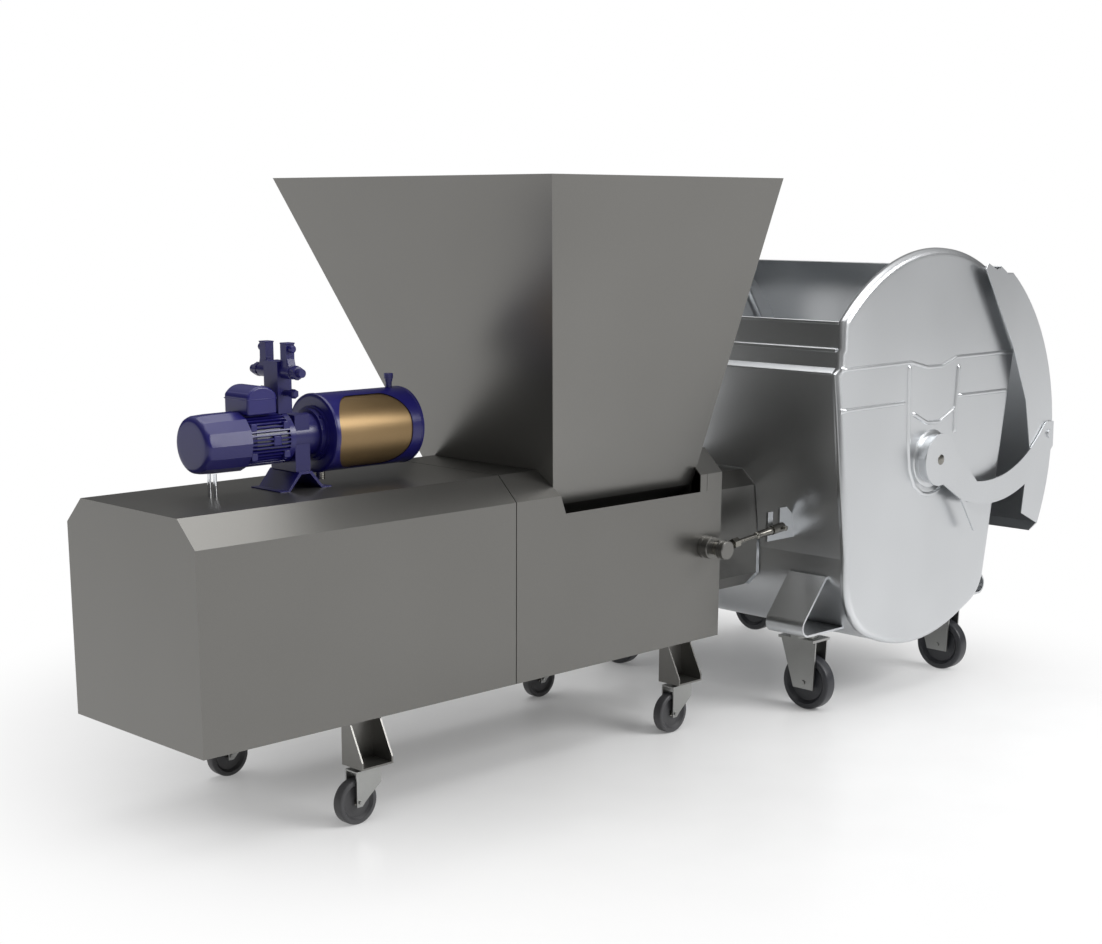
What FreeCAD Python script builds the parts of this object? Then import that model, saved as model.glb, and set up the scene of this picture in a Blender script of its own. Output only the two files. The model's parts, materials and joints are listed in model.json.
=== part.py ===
import FreeCAD, Part
import math
import os
import re
import Sketcher

# Trash compactor: a hydraulic waste press on castors with a funnel hopper and a
# power pack on its deck, docked by two tie rods to a galvanised waste container.
# Every length is in millimetres. While the pieces are built, x runs from the
# outside of the rear end plate towards the container, y across, z up from the floor.

doc = FreeCAD.newDocument("trash_compactor")
sizes = doc.addObject("Spreadsheet::Sheet", "sizes")
places = doc.addObject("Spreadsheet::Sheet", "places")

# Driving sizes: alias, value, what it is.
SIZES = [
    # press body
    ("press_width", 585, "outside width of the press body"),
    ("press_length", 1944, "rear end plate to front plate"),
    ("floor_clearance", 274, "floor to the underside of the body"),
    ("side_height", 520, "height of the upright side panels"),
    ("chamfer_width", 73, "folded edge of the covers, across"),
    ("chamfer_height", 69, "folded edge of the covers, up"),
    ("sheet", 3, "cover sheet thickness"),
    ("end_sheet", 4, "end plate thickness"),
    ("seam_place", 1058, "rear end plate to the seam between the two covers"),
    ("seam_gap", 3, "gap between the two covers"),
    ("floor_sheet", 5, "floor plate thickness"),
    ("rail_width", 50, "chassis rail, across"),
    ("rail_height", 70, "chassis rail, up"),
    ("rail_inset", 12, "side cover to chassis rail"),
    # hopper
    ("hopper_rear_foot", 1235, "rear end plate to the hopper's rear wall at the top of the side panels"),
    ("hopper_front_foot", 1851, "rear end plate to the hopper's front wall at the same height"),
    ("hopper_half_foot", 260, "centre line to the hopper's side wall at the same height"),
    ("hopper_top", 1673, "floor to the hopper's rim"),
    ("hopper_rear_flare", 0.377, "slope of the rear wall, out for each unit up"),
    ("hopper_front_lean", 0.0216, "slope of the front wall, in for each unit up"),
    ("hopper_side_flare", 0.3652, "slope of the side walls, out for each unit up"),
    ("hopper_sheet", 4, "hopper sheet thickness"),
    ("notch_depth", 53, "depth of the cut-out beside the hopper"),
    ("notch_gap", 8, "hopper front wall to the end of the cut-out"),
    ("post_seam", 30, "end of the cut-out to the seam in the front post"),
    # press chamber, spout and ram
    ("chamber_rear", 590, "rear end plate to the rear of the press chamber"),
    ("spout_half_width", 185, "centre line to the outside of the spout"),
    ("spout_low", 370, "floor to the underside of the spout"),
    ("spout_high", 760, "floor to the top of the spout"),
    ("spout_chamfer", 48, "cut corners of the spout"),
    ("spout_wall", 5, "chamber and spout wall"),
    ("spout_reach", 318, "front plate to the end of the spout"),
    ("ram_gap", 8, "chamber wall to the ram's skin, filled by the wear strips"),
    ("strip_gap", 1, "wear strip to the chamber wall"),
    ("ram_length", 640, "length of the ram"),
    ("ram_wall", 8, "ram skin"),
    ("ram_face", 20, "ram face plate"),
    ("ram_setback", 14, "hopper rear wall's foot to the drawn-back ram face"),
    ("strip_width", 60, "width of a wear strip"),
    # hydraulic cylinder
    ("cylinder_height", 560, "floor to the cylinder's axis"),
    ("barrel_radius", 62, "outside radius of the barrel"),
    ("barrel_bore", 50, "inside radius of the barrel"),
    ("barrel_rear", 60, "rear end plate to the barrel"),
    ("barrel_length", 860, "length of the barrel"),
    ("barrel_cap", 24, "closed rear end of the barrel"),
    ("rod_radius", 32, "piston rod radius"),
    ("piston_length", 50, "length of the piston"),
    ("slide_gap", 0.05, "running clearance on a radius"),
    ("seal_gap", 0.4, "clearance between piston and barrel on a radius"),
    # press castors
    ("leg_x_rear", 515, "rear end plate to the rear legs"),
    ("leg_setback", 175, "front plate back to the front legs"),
    ("leg_y", 291, "centre line to a leg's swivel"),
    ("leg_width", 106, "leg, along the press"),
    ("leg_depth", 84, "leg's foot plate, across"),
    ("leg_top_depth", 35, "leg's side plates at their top, across"),
    ("leg_foot", 155, "floor to the leg's foot plate"),
    ("leg_sheet", 5, "leg plate thickness"),
    ("leg_kick", 20, "upright part of the leg's slanted edge"),
    ("press_wheel_radius", 62.5, "press wheel radius"),
    ("press_wheel_width", 32, "press wheel width"),
    ("press_trail", 45, "swivel axis to wheel axle"),
    ("press_fork_rear", 12, "press wheel axle to the fork's upright edge"),
    ("press_fork_front", 27, "swivel axis to the fork's other edge"),
    ("press_fork_drop", 40, "upright part of that edge"),
    ("press_fork_gap", 4, "wheel to fork plate"),
    ("press_fork_sheet", 4, "fork plate thickness"),
    ("press_axle_radius", 6, "press wheel axle radius"),
    ("race_radius", 24, "swivel race radius"),
    ("race_height", 7, "swivel race height"),
    ("swivel_gap", 0.4, "race to the plate above it"),
    # power pack
    ("pack_height", 138, "deck to the axis of motor and tank"),
    ("cowl_start", 195, "rear end plate to the fan cowl"),
    ("cowl_length", 138, "fan cowl length"),
    ("cowl_radius", 78, "fan cowl radius"),
    ("cowl_sheet", 3, "fan cowl sheet"),
    ("motor_length", 146, "motor frame length"),
    ("motor_radius", 70, "motor frame radius"),
    ("motor_wall", 8, "motor frame wall"),
    ("stator_radius", 46, "stator bore radius"),
    ("rotor_radius", 44.5, "rotor radius"),
    ("shaft_radius", 11, "motor shaft radius"),
    ("fan_radius", 62, "cooling fan radius"),
    ("fan_width", 26, "cooling fan width"),
    ("bell_length", 4, "drive end bell of the carrier"),
    ("carrier_length", 100, "pump carrier, bell to tank"),
    ("carrier_block_length", 48, "pump carrier block length"),
    ("carrier_half", 54, "pump carrier block, half its width"),
    ("carrier_high", 59, "motor axis to the top of the carrier block"),
    ("carrier_low", 90, "motor axis to the underside of the carrier block"),
    ("carrier_neck", 57, "round neck between the carrier and the tank"),
    ("tank_length", 305, "oil tank length"),
    ("tank_radius", 105.4, "oil tank radius"),
    ("tank_wall", 3, "oil tank wall"),
    ("tank_flange", 8, "oil tank end thickness"),
    ("window_front", 14, "tank front to the cut in its jacket"),
    ("window_rear", 41, "the cut to the tank's rear end"),
    ("window_depth", 30, "centre line to the edge of the cut"),
    ("window_half", 97, "tank axis to the top and bottom of the cut"),
    ("window_round", 72, "rounded corners of the cut"),
    ("liner_wall", 3, "bronze liner wall"),
    ("liner_gap", 0.4, "tank jacket to liner"),
    ("pump_radius", 40, "gear pump radius"),
    ("pump_length", 110, "gear pump length"),
    ("foot_width", 130, "power pack foot, across"),
    ("foot_spread", 116, "power pack foot, between its legs at the deck"),
    ("foot_top", 40, "power pack foot, width of its top"),
    ("foot_sheet", 6, "power pack foot, plate"),
    ("foot_flange", 26, "power pack foot, flange length"),
    ("box_length", 92, "terminal box, along"),
    ("box_width", 104, "terminal box, across"),
    ("box_top", 141, "motor axis to the top of the terminal box"),
    ("box_bottom", 68, "motor axis to the bottom of the terminal box"),
    ("box_offset", 4, "cowl end to the terminal box"),
    ("box_round", 30, "rounded top of the terminal box"),
    ("box_wall", 5, "terminal box wall"),
    ("gland_radius", 12.5, "cable entry radius"),
    ("manifold_setback", 33.5, "drive bell back to the valve manifold"),
    ("manifold_length", 45, "valve manifold, along"),
    ("manifold_width", 60, "valve manifold, across"),
    ("manifold_top", 199, "motor axis to the top of the manifold"),
    ("coil_height", 172, "motor axis to the solenoid coils"),
    ("coil_radius", 18, "solenoid coil radius"),
    ("coil_reach", 108, "centre line to the end of a coil"),
    ("lower_valve_height", 117, "motor axis to the lower valves"),
    ("lower_valve_radius", 11, "lower valve radius"),
    ("lower_valve_reach", 78, "centre line to the end of a lower valve"),
    ("head_side", 26, "upper valve block, side"),
    ("head_place", 45, "centre line to an upper valve block"),
    ("head_top", 245, "motor axis to the top of an upper valve block"),
    ("knob_radius", 8, "valve knob radius"),
    ("knob_length", 14, "valve knob length"),
    ("cap_place", 266, "tank start to the filler"),
    ("cap_radius", 13, "filler cap radius"),
    ("cap_height", 22, "filler cap height"),
    ("neck_radius", 9, "filler neck radius"),
    ("neck_height", 16, "filler neck above the tank"),
    ("plug_place", 21, "tank start to the drain plug"),
    ("plug_radius", 13, "drain plug radius"),
    ("plug_height", 20, "drain plug height"),
    ("stud_radius", 5, "support stud radius"),
    ("stud_place", 255, "rear end plate to the support studs"),
    ("stud_half", 13, "centre line to a support stud"),
    ("pipe_radius", 8, "hydraulic pipe radius"),
    ("pipe_half", 24, "centre line to a hydraulic pipe"),
    ("pipe_drop", 30, "deck to the pipes' level run"),
    # tie rods
    ("boss_setback", 76, "front plate back to the tie rod boss"),
    ("boss_z", 568, "floor to the tie rod boss"),
    ("boss_radius", 34, "tie rod boss radius"),
    ("boss_length", 36, "tie rod boss length"),
    ("boss_neck", 20, "tie rod boss neck radius"),
    ("boss_neck_length", 10, "tie rod boss neck length"),
    ("boss_pin", 12, "tie rod pivot radius"),
    ("boss_cap", 28, "tie rod cap radius"),
    ("boss_cap_length", 26, "tie rod cap length"),
    ("eye_radius", 21, "tie rod eye radius"),
    ("eye_width", 18, "tie rod eye width"),
    ("eye_gap", 2, "eye to the faces beside it"),
    ("rod_reach", 304, "tie rod boss to the cross pin, along the press"),
    ("rod_rise", 31, "tie rod boss to the cross pin, up"),
    ("rod_half", 8, "tie rod radius"),
    ("rod_collar", 15, "tie rod end collar radius"),
    ("cross_pin", 5, "cross pin radius"),
    ("cross_pin_rest", 0.3, "cross pin to the bottom of its slot"),
    ("nut_radius", 17, "tightening nut radius"),
    ("nut_length", 26, "tightening nut length"),
    ("nut_place", 66, "tie rod boss to the tightening nut"),
    ("hook_gap", 2, "tie rod to the hook plate"),
    ("hook_sheet", 8, "hook plate thickness"),
    ("hook_prong", 25, "hook plate's free prong"),
    ("hook_slot", 35, "hook plate's slot"),
    ("hook_depth", 56, "depth of the slot"),
    ("hook_floor", 38, "plate below the slot"),
    ("hook_shoulder", 35, "plate behind the slot at its top"),
    # container
    ("dock_reach", 758, "front plate to the container's trunnions"),
    ("hub_z", 790, "floor to the container's trunnions"),
    ("container_half", 543, "centre line to the outside of an end panel"),
    ("panel_radius", 675, "round top of the end panels"),
    ("panel_sheet", 3, "end panel sheet"),
    ("panel_rim", 25, "depth of the end panel's rim"),
    ("trough_sheet", 3, "trough sheet"),
    ("rim_front_z", 1252, "floor to the front rim"),
    ("step_z", 1172, "floor to the upper step of the front wall"),
    ("step_low_z", 1112, "floor to the lower step of the front wall"),
    ("ledge_z", 1094, "floor to the ledge under the steps"),
    ("rim_front_x", 492, "trunnions to the front rim"),
    ("step_drop", 12, "height of the fold under the front rim"),
    ("step_lean", 3, "lean of the steps"),
    ("fold_rise", 0.7, "rise of a bottom corner for each unit the sheet is drawn in"),
    ("keel_rise", 1.06, "the same for the lowest fold"),
    ("fold_draw", 0.8, "sideways move of the rear corner for each unit drawn in"),
    ("step_x", 502, "trunnions to the recess under the front rim"),
    ("ledge_x", 520, "trunnions to the ledge"),
    ("front_low_x", 430, "trunnions to the lower end of the front wall"),
    ("front_low_z", 504, "floor to the lower end of the front wall"),
    ("front_foot_x", 426, "trunnions to the front corner of the bottom"),
    ("front_foot_z", 285, "floor to the front corner of the bottom"),
    ("front_foot_round", 230, "round of the front corner"),
    ("keel_x", 12, "trunnions to the lowest fold"),
    ("keel_z", 130, "floor to the lowest fold before rounding"),
    ("keel_round", 600, "round of the lowest fold"),
    ("rear_foot_x", 361, "trunnions to the rear corner of the bottom"),
    ("rear_foot_z", 291, "floor to the rear corner of the bottom"),
    ("rear_foot_round", 130, "round of the rear corner"),
    ("rim_rear_x", 484, "trunnions to the rear rim"),
    ("rim_rear_z", 1118, "floor to the rear rim"),
    ("arc_end", 66, "angle of the end of the round top, above the level"),
    ("port_gap", 3, "spout to the edge of the port in the front wall"),
    ("port_sill", 2, "spout end to the inside of the trough"),
    # container castors
    ("tray_front", 443, "trunnions to the front castors' swivels"),
    ("tray_rear", 328, "trunnions to the rear castors' swivels"),
    ("tray_y", 395, "centre line to a castor's swivel"),
    ("tray_width", 148, "bent bracket, across"),
    ("tray_z", 256, "floor to the underside of the bracket"),
    ("tray_sheet", 7, "bracket plate"),
    ("tray_rise", 186, "height of the bracket"),
    ("tray_nose_front", 146, "swivel to the front brackets' nose"),
    ("tray_nose_rear", 212, "swivel to the rear brackets' nose"),
    ("tray_heel", 120, "swivel to the bracket's inner end"),
    ("tray_lean", 150, "bracket's nose to its top, along"),
    ("tray_round", 34, "round of the bracket's nose"),
    ("bin_wheel_radius", 90, "container wheel radius"),
    ("bin_wheel_width", 44, "container wheel width"),
    ("bin_trail", 26, "swivel axis to wheel axle"),
    ("bin_fork_gap", 5, "wheel to fork plate"),
    ("bin_fork_sheet", 5, "fork plate thickness"),
    ("bin_fork_top", 140, "fork plate width at its top"),
    ("bin_fork_foot", 80, "fork plate width at its foot"),
    ("bin_plate", 8, "fork top plate thickness"),
    ("bin_plate_length", 90, "fork top plate, along the press"),
    ("bin_race_radius", 48, "swivel race radius"),
    ("bin_race_height", 18, "swivel race height"),
    ("bin_axle_radius", 8, "container wheel axle radius"),
    # lid
    ("lid_half", 580, "centre line to the outside of the lid"),
    ("lid_radius", 705, "outside radius of the lid"),
    ("lid_drawn", 705, "lid radius at which the cheek and arm points are given"),
    ("lid_sheet", 3, "lid sheet"),
    ("lid_step", 18, "lid skin in to the stepped lip"),
    ("lid_top_angle", 57, "angle where the lid steps in"),
    ("lid_lip_angle", 63.5, "angle of the lip's end"),
    ("ear_angle", 69.7, "angle of the cheeks' upper end"),
    ("ear_radius", 667, "trunnions to the cheeks' outer edge beyond the lip"),
    ("lid_low_angle", 24, "angle of the lid's lower end, below the level"),
    ("lid_low_lip", 36, "depth of the lower lip"),
    ("cheek_top", 645, "trunnions to the cheek's inner edge at its top end"),
    ("cheek_mid", 540, "trunnions to the cheek's inner edge at its middle"),
    ("cheek_low", 560, "trunnions to the cheek's inner edge at the level of the trunnions"),
    ("cheek_foot", 585, "trunnions to the cheek's inner edge at its lower end"),
    ("hub_radius", 80, "trunnion boss radius"),
    ("hub_pin", 22, "trunnion pin radius"),
    ("arm_gap", 2, "lid arm to the boss and the lid's cheek"),
    ("arm_sheet", 6, "lid arm plate"),
    ("arm_disc", 86, "lid arm's disc radius"),
    ("arm_upper_round", 462, "upper curve of the lid arm"),
    ("arm_lower_round", 533, "lower curve of the lid arm"),
    ("rivet_radius", 15, "lid arm rivet radius"),
]

# Places worked out from the sizes: alias, formula.
PLACES = [
    ("hub_x", "press_length + dock_reach"),
    ("boss_x", "press_length - boss_setback"),
    ("leg_x_front", "press_length - leg_setback"),
    ("middle", "(hub_x + lid_radius) / 2"),
    ("half_width", "press_width / 2"),
    ("shoulder", "floor_clearance + side_height"),
    ("deck", "shoulder + chamfer_height"),
    ("pack_z", "deck + pack_height"),
    ("hopper_foot", "spout_high"),
    ("foot_drop", "shoulder - hopper_foot"),
    ("hopper_rear", "hopper_rear_foot + foot_drop * hopper_rear_flare"),
    ("hopper_front", "hopper_front_foot + foot_drop * hopper_front_lean"),
    ("hopper_side", "hopper_half_foot - foot_drop * hopper_side_flare"),
    ("mouth_rear", "hopper_rear_foot - (hopper_top - shoulder) * hopper_rear_flare"),
    ("mouth_front", "hopper_front_foot - (hopper_top - shoulder) * hopper_front_lean"),
    ("mouth_side", "hopper_half_foot + (hopper_top - shoulder) * hopper_side_flare"),
    ("notch_end", "hopper_front_foot - notch_gap"),
    ("notch_floor", "shoulder - notch_depth"),
    ("feed_start", "hopper_rear + hopper_sheet"),
    ("feed_end", "hopper_front - hopper_sheet"),
    ("flare_foot", "spout_high - spout_chamfer"),
    ("spout_end", "press_length + spout_reach"),
    ("ram_front", "hopper_rear_foot - ram_setback"),
    ("ram_rear", "ram_front - ram_length"),
    ("barrel_front", "barrel_rear + barrel_length"),
    ("cowl_end", "cowl_start + cowl_length"),
    ("motor_end", "cowl_end + motor_length"),
    ("bell_end", "motor_end + bell_length"),
    ("carrier_end", "bell_end + carrier_length"),
    ("tank_end", "carrier_end + tank_length"),
    ("foot_x", "bell_end + carrier_block_length / 2"),
    ("manifold_x", "bell_end - manifold_setback"),
    ("fork_top", "leg_foot - race_height"),
    ("press_fork_in", "press_wheel_width / 2 + press_fork_gap"),
    ("bin_fork_in", "bin_wheel_width / 2 + bin_fork_gap"),
    ("boss_shoulder", "half_width + boss_length"),
    ("boss_neck_end", "boss_shoulder + boss_neck_length"),
    ("eye_in", "boss_neck_end + eye_gap"),
    ("eye_out", "eye_in + eye_width"),
    ("cap_in", "eye_out + eye_gap"),
    ("tie_y", "(eye_in + eye_out) / 2"),
    ("hook_y", "tie_y - rod_collar - hook_gap - hook_sheet"),
    ("tie_length", "sqrt(rod_reach * rod_reach + rod_rise * rod_rise)"),
    ("pin_x", "boss_x + rod_reach"),
    ("pin_z", "boss_z + rod_rise"),
    ("slot_floor", "pin_z - cross_pin - cross_pin_rest"),
    ("hub_face", "lid_half + arm_gap"),
    ("lid_lip_radius", "lid_radius - lid_step"),
    ("lid_scale", "lid_radius / lid_drawn"),
    ("race_top", "tray_z - swivel_gap"),
]

SHEET_OF = {}


def formula(text):
    """Write the sheet's name before every alias in a formula."""
    def full(match):
        word = match.group(0)
        return SHEET_OF[word] + "." + word if word in SHEET_OF else word
    return re.sub(r"[a-z_]\w*", full, str(text))


for row, (alias, value, note) in enumerate(SIZES, start=1):
    sizes.set("A%d" % row, alias)
    sizes.set("B%d" % row, str(value))
    sizes.set("C%d" % row, note)
    sizes.setAlias("B%d" % row, alias)
    SHEET_OF[alias] = "sizes"
doc.recompute()
for row, (alias, text) in enumerate(PLACES, start=1):
    places.set("A%d" % row, alias)
    places.set("B%d" % row, "=" + formula(text).replace("places.", ""))
    places.setAlias("B%d" % row, alias)
    SHEET_OF[alias] = "places"
    doc.recompute()


def number(text):
    """The present value of a formula, used to start a sketch near its solution."""
    value = sizes.evalExpression(formula(text))
    return float(getattr(value, "Value", value))


def bind(thing, **formulas):
    """Bind properties to formulas; two underscores stand for a dot in a path."""
    for path, text in formulas.items():
        thing.setExpression(path.replace("__", "."), formula(text))
    return thing


def part(kind, name, **formulas):
    """A Part primitive with its sizes and place bound to formulas."""
    return bind(doc.addObject("Part::" + kind, name), **formulas)


def box(name, x, y, z):
    """A box from its spans along x, y and z."""
    return part("Box", name,
                Length="(%s) - (%s)" % (x[1], x[0]),
                Width="(%s) - (%s)" % (y[1], y[0]),
                Height="(%s) - (%s)" % (z[1], z[0]),
                Placement__Base__x=x[0], Placement__Base__y=y[0], Placement__Base__z=z[0])


TURN = {
    "x": FreeCAD.Rotation(FreeCAD.Vector(0, 1, 0), 90),
    "y": FreeCAD.Rotation(FreeCAD.Vector(1, 0, 0), -90),
    "z": FreeCAD.Rotation(),
}


def rod(name, axis, span, centre, radius):
    """A cylinder along an axis: its span on that axis and its centre on the other two."""
    ends = {"x": (span[0], centre[0], centre[1]),
            "y": (centre[0], span[0], centre[1]),
            "z": (centre[0], centre[1], span[0])}[axis]
    cylinder = part("Cylinder", name, Radius=radius, Height="(%s) - (%s)" % (span[1], span[0]))
    cylinder.Placement = FreeCAD.Placement(FreeCAD.Vector(), TURN[axis])
    return bind(cylinder, Placement__Base__x=ends[0], Placement__Base__y=ends[1],
                Placement__Base__z=ends[2])


def fuse(name, *pieces):
    """One solid from several that touch or overlap."""
    union = doc.addObject("Part::MultiFuse", name)
    union.Shapes = list(pieces)
    union.Refine = True
    return union


def cut(name, base, *tools):
    """A solid less the tools."""
    for index, tool in enumerate(tools):
        last = index == len(tools) - 1
        result = doc.addObject("Part::Cut", name if last else "%s_cut_%d" % (name, index))
        result.Base = base
        result.Tool = tool
        base = result
    base.Refine = True
    return base


def group(name, *pieces):
    """Separate solids that share a node."""
    compound = doc.addObject("Part::Compound", name)
    compound.Links = list(pieces)
    return compound


PLANE_ROLE = {"x": "YZ_Plane", "y": "XZ_Plane", "z": "XY_Plane"}


def origin_plane(body, axis):
    """The body's own origin plane that is square to an axis."""
    return next(f for f in body.Origin.OriginFeatures if f.Role == PLANE_ROLE[axis])


def outline_sketch(body, name, axis, level, outline, arcs):
    """A closed outline on a plane square to an axis, each corner placed by two formulas.

    arcs maps an edge's number to its radius and the side of its centre: 1 when the
    centre is on the left of the way round, -1 when it is on the right.
    """
    sketch = body.newObject("Sketcher::SketchObject", name)
    sketch.AttachmentSupport = [(origin_plane(body, axis), "")]
    sketch.MapMode = "FlatFace"
    bind(sketch, AttachmentOffset__Base__z=level)
    corners = [FreeCAD.Vector(number(u), number(v), 0) for u, v in outline]
    start_end = []
    for edge, here in enumerate(corners):
        there = corners[(edge + 1) % len(corners)]
        if edge not in arcs:
            sketch.addGeometry(Part.LineSegment(here, there), False)
            start_end.append((1, 2))
            continue
        radius, side = arcs[edge]
        along = there - here
        across = FreeCAD.Vector(-along.y, along.x, 0).normalize() * side
        rise = math.sqrt(max(number(radius) ** 2 - (along.Length / 2) ** 2, 0))
        centre = (here + there) * 0.5 + across * rise
        first, last = (here, there) if side > 0 else (there, here)
        angles = [math.atan2(p.y - centre.y, p.x - centre.x) for p in (first, last)]
        circle = Part.Circle(centre, FreeCAD.Vector(0, 0, 1), number(radius))
        sketch.addGeometry(Part.ArcOfCircle(circle, angles[0], angles[1]), False)
        start_end.append((1, 2) if side > 0 else (2, 1))
    for edge in range(len(corners)):
        following = (edge + 1) % len(corners)
        sketch.addConstraint(Sketcher.Constraint(
            "Coincident", edge, start_end[edge][1], following, start_end[following][0]))
    for edge, (u, v) in enumerate(outline):
        for kind, text in (("DistanceX", u), ("DistanceY", v)):
            where = sketch.addConstraint(Sketcher.Constraint(
                kind, -1, 1, edge, start_end[edge][0], number(text)))
            sketch.setExpression("Constraints[%d]" % where, formula(text))
    for edge, (radius, side) in sorted(arcs.items()):
        where = sketch.addConstraint(Sketcher.Constraint("Radius", edge, number(radius)))
        sketch.setExpression("Constraints[%d]" % where, formula(radius))
    return sketch


def prism(name, axis, span, outline, arcs=None):
    """A body padded from an outline square to an axis, over a span along that axis."""
    body = doc.addObject("PartDesign::Body", name)
    level = "-(%s)" % span[1] if axis == "y" else span[0]
    sketch = outline_sketch(body, name + "_outline", axis, level, outline, arcs or {})
    pad = body.newObject("PartDesign::Pad", name + "_pad")
    pad.Profile = sketch
    bind(pad, Length="(%s) - (%s)" % (span[1], span[0]))
    body.Tip = pad
    doc.recompute()
    return body


def round_edges(body, radius, wanted):
    """Fillet the body's edges that the test picks."""
    before = body.Tip
    edges = ["Edge%d" % (i + 1) for i, edge in enumerate(before.Shape.Edges) if wanted(edge)]
    fillet = body.newObject("PartDesign::Fillet", "%s_round_%d" % (body.Name, len(body.Group)))
    fillet.Base = (before, edges)
    bind(fillet, Radius=radius)
    body.Tip = fillet
    doc.recompute()
    return body


def runs_along(edge, direction):
    """True for a straight edge along a direction."""
    way = edge.valueAt(edge.LastParameter) - edge.valueAt(edge.FirstParameter)
    return edge.Curve.TypeId == "Part::GeomLine" and abs(abs(way.normalize().dot(direction)) - 1) < 1e-6


def near_point(edge, x, z):
    """True for an edge along y that passes a point in x and z."""
    point = edge.valueAt(edge.FirstParameter)
    return abs(point.x - number(x)) < 0.5 and abs(point.z - number(z)) < 0.5


ALONG_X = FreeCAD.Vector(1, 0, 0)
ALONG_Y = FreeCAD.Vector(0, 1, 0)
ALONG_Z = FreeCAD.Vector(0, 0, 1)
NODES = []


def node(thing, name):
    """Name a finished sub-part and move it to the part's own frame."""
    thing.Label = name
    bind(thing, Placement__Base__x="-middle")
    NODES.append(thing)
    return thing


def both(inner, outer):
    """The near and the far copy of a span across the press."""
    return [("near", ("-(%s)" % outer, "-(%s)" % inner), "-"), ("far", (inner, outer), "")]


# ---- covers and chassis of the press ----

def leaning_wall(name, foot, mouth):
    """A flat wall lofted from its foot to the rim, each end a span in x and a span in y."""
    body = doc.addObject("PartDesign::Body", name)
    sketches = []
    for level, height, (x, y) in (("foot", "hopper_foot", foot), ("mouth", "hopper_top", mouth)):
        outline = [(x[0], y[0]), (x[1], y[0]), (x[1], y[1]), (x[0], y[1])]
        sketches.append(outline_sketch(body, "%s_%s" % (name, level), "z", height, outline, {}))
    loft = body.newObject("PartDesign::AdditiveLoft", name + "_loft")
    loft.Profile = sketches[0]
    loft.Sections = [sketches[1]]
    loft.Ruled = True
    body.Tip = loft
    return body


def cover_outline(inset):
    """Half-round section of a cover: upright sides, folded edges, flat top."""
    side = "half_width - %s" % inset
    shoulder = "shoulder - %s / 2" % inset
    top = "deck - %s" % inset
    edge = "half_width - chamfer_width - %s / 2" % inset
    return [(side, shoulder), (edge, top), ("-(%s)" % edge, top), ("-(%s)" % side, shoulder)]


def cover(name, x):
    """A folded cover with an open underside, standing on the floor plate's level."""
    low = "floor_clearance"
    outside = [("half_width", low)] + cover_outline("0") + [("-half_width", low)]
    inside = [("-half_width + sheet", low)] + cover_outline("sheet")[::-1] + [("half_width - sheet", low)]
    return prism(name, "x", x, outside + inside)


node(cover("rear_hood", ("end_sheet", "seam_place")), "rear_hood")

end_outline = [("half_width", "floor_clearance")] + cover_outline("0") + [("-half_width", "floor_clearance")]
node(prism("rear_end_plate", "x", ("0", "end_sheet"), end_outline), "rear_end_plate")

# The front cover is cut away for the hopper along the slope of its rear wall, and down
# the sides by the notch. A saw cut marks the joint in the post in front of the notch.
housing_shell = cover("housing_shell", ("seam_place + seam_gap", "press_length - end_sheet"))
hopper_cut = prism("hopper_cut", "y", ("-press_width", "press_width"), [
    ("hopper_rear_foot + notch_depth * hopper_rear_flare", "notch_floor"),
    ("notch_end", "notch_floor"),
    ("notch_end", "deck + chamfer_height"),
    ("hopper_rear_foot - 2 * chamfer_height * hopper_rear_flare", "deck + chamfer_height"),
])
post_slots = [box("post_slot_%s" % side,
                  ("notch_end + post_seam", "notch_end + post_seam + sheet / 2"),
                  span, ("notch_floor", "shoulder"))
              for side, span, _ in both("half_width - 2 * sheet", "half_width + sheet")]
hopper_room = leaning_wall("hopper_room",
                           (("hopper_rear - swivel_gap", "hopper_front + swivel_gap"),
                            ("-hopper_side - swivel_gap", "hopper_side + swivel_gap")),
                           (("mouth_rear - swivel_gap", "mouth_front + swivel_gap"),
                            ("-mouth_side - swivel_gap", "mouth_side + swivel_gap")))
node(cut("front_housing", housing_shell, hopper_cut, hopper_room, *post_slots), "front_housing")


def octagon(inset, low="spout_low", high="spout_high"):
    """Cut-corner section of the chamber, spout and ram, drawn in by an inset."""
    side = "spout_half_width - %s" % inset
    corner = "spout_half_width - spout_chamfer - (%s) * 0.414" % inset
    bottom = "%s + %s" % (low, inset)
    top = "%s - %s" % (high, inset)
    foot = "%s + spout_chamfer + (%s) * 0.414" % (low, inset)
    head = "%s - spout_chamfer - (%s) * 0.414" % (high, inset)
    right = [(corner, bottom), (side, foot), (side, head), (corner, top)]
    return right + [("-(%s)" % u, v) for u, v in right[::-1]]


front_blank = prism("front_blank", "x", ("press_length - end_sheet", "press_length"), end_outline)
front_hole = prism("front_hole", "x", ("press_length - 2 * end_sheet", "press_length + end_sheet"),
                   octagon("0"))
node(cut("front_plate", front_blank, front_hole), "front_plate")

floor_sheet_box = box("floor_sheet_box", ("end_sheet", "press_length - end_sheet"),
                      ("-half_width + sheet", "half_width - sheet"),
                      ("floor_clearance", "floor_clearance + floor_sheet"))
node(group("floor_plate", floor_sheet_box), "floor_plate")

rail_z = ("floor_clearance + floor_sheet", "floor_clearance + floor_sheet + rail_height")
rail_out = "half_width - sheet - rail_inset"
rail_in = "half_width - sheet - rail_inset - rail_width"
rails = [box("rail_%s" % side, ("barrel_rear", "press_length - 2 * rail_width"), span, rail_z)
         for side, span, _ in both(rail_in, rail_out)]
cross_bars = [box("cross_bar_%d" % i, (x, "%s + rail_width" % x), ("-(%s)" % rail_in, rail_in), rail_z)
              for i, x in enumerate(("barrel_rear", "leg_x_rear", "feed_start", "leg_x_front - rail_width"))]
node(fuse("chassis_rails", *rails, *cross_bars), "chassis_rails")

# ---- hopper: four flat walls that lean out and meet at the corners ----


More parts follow.
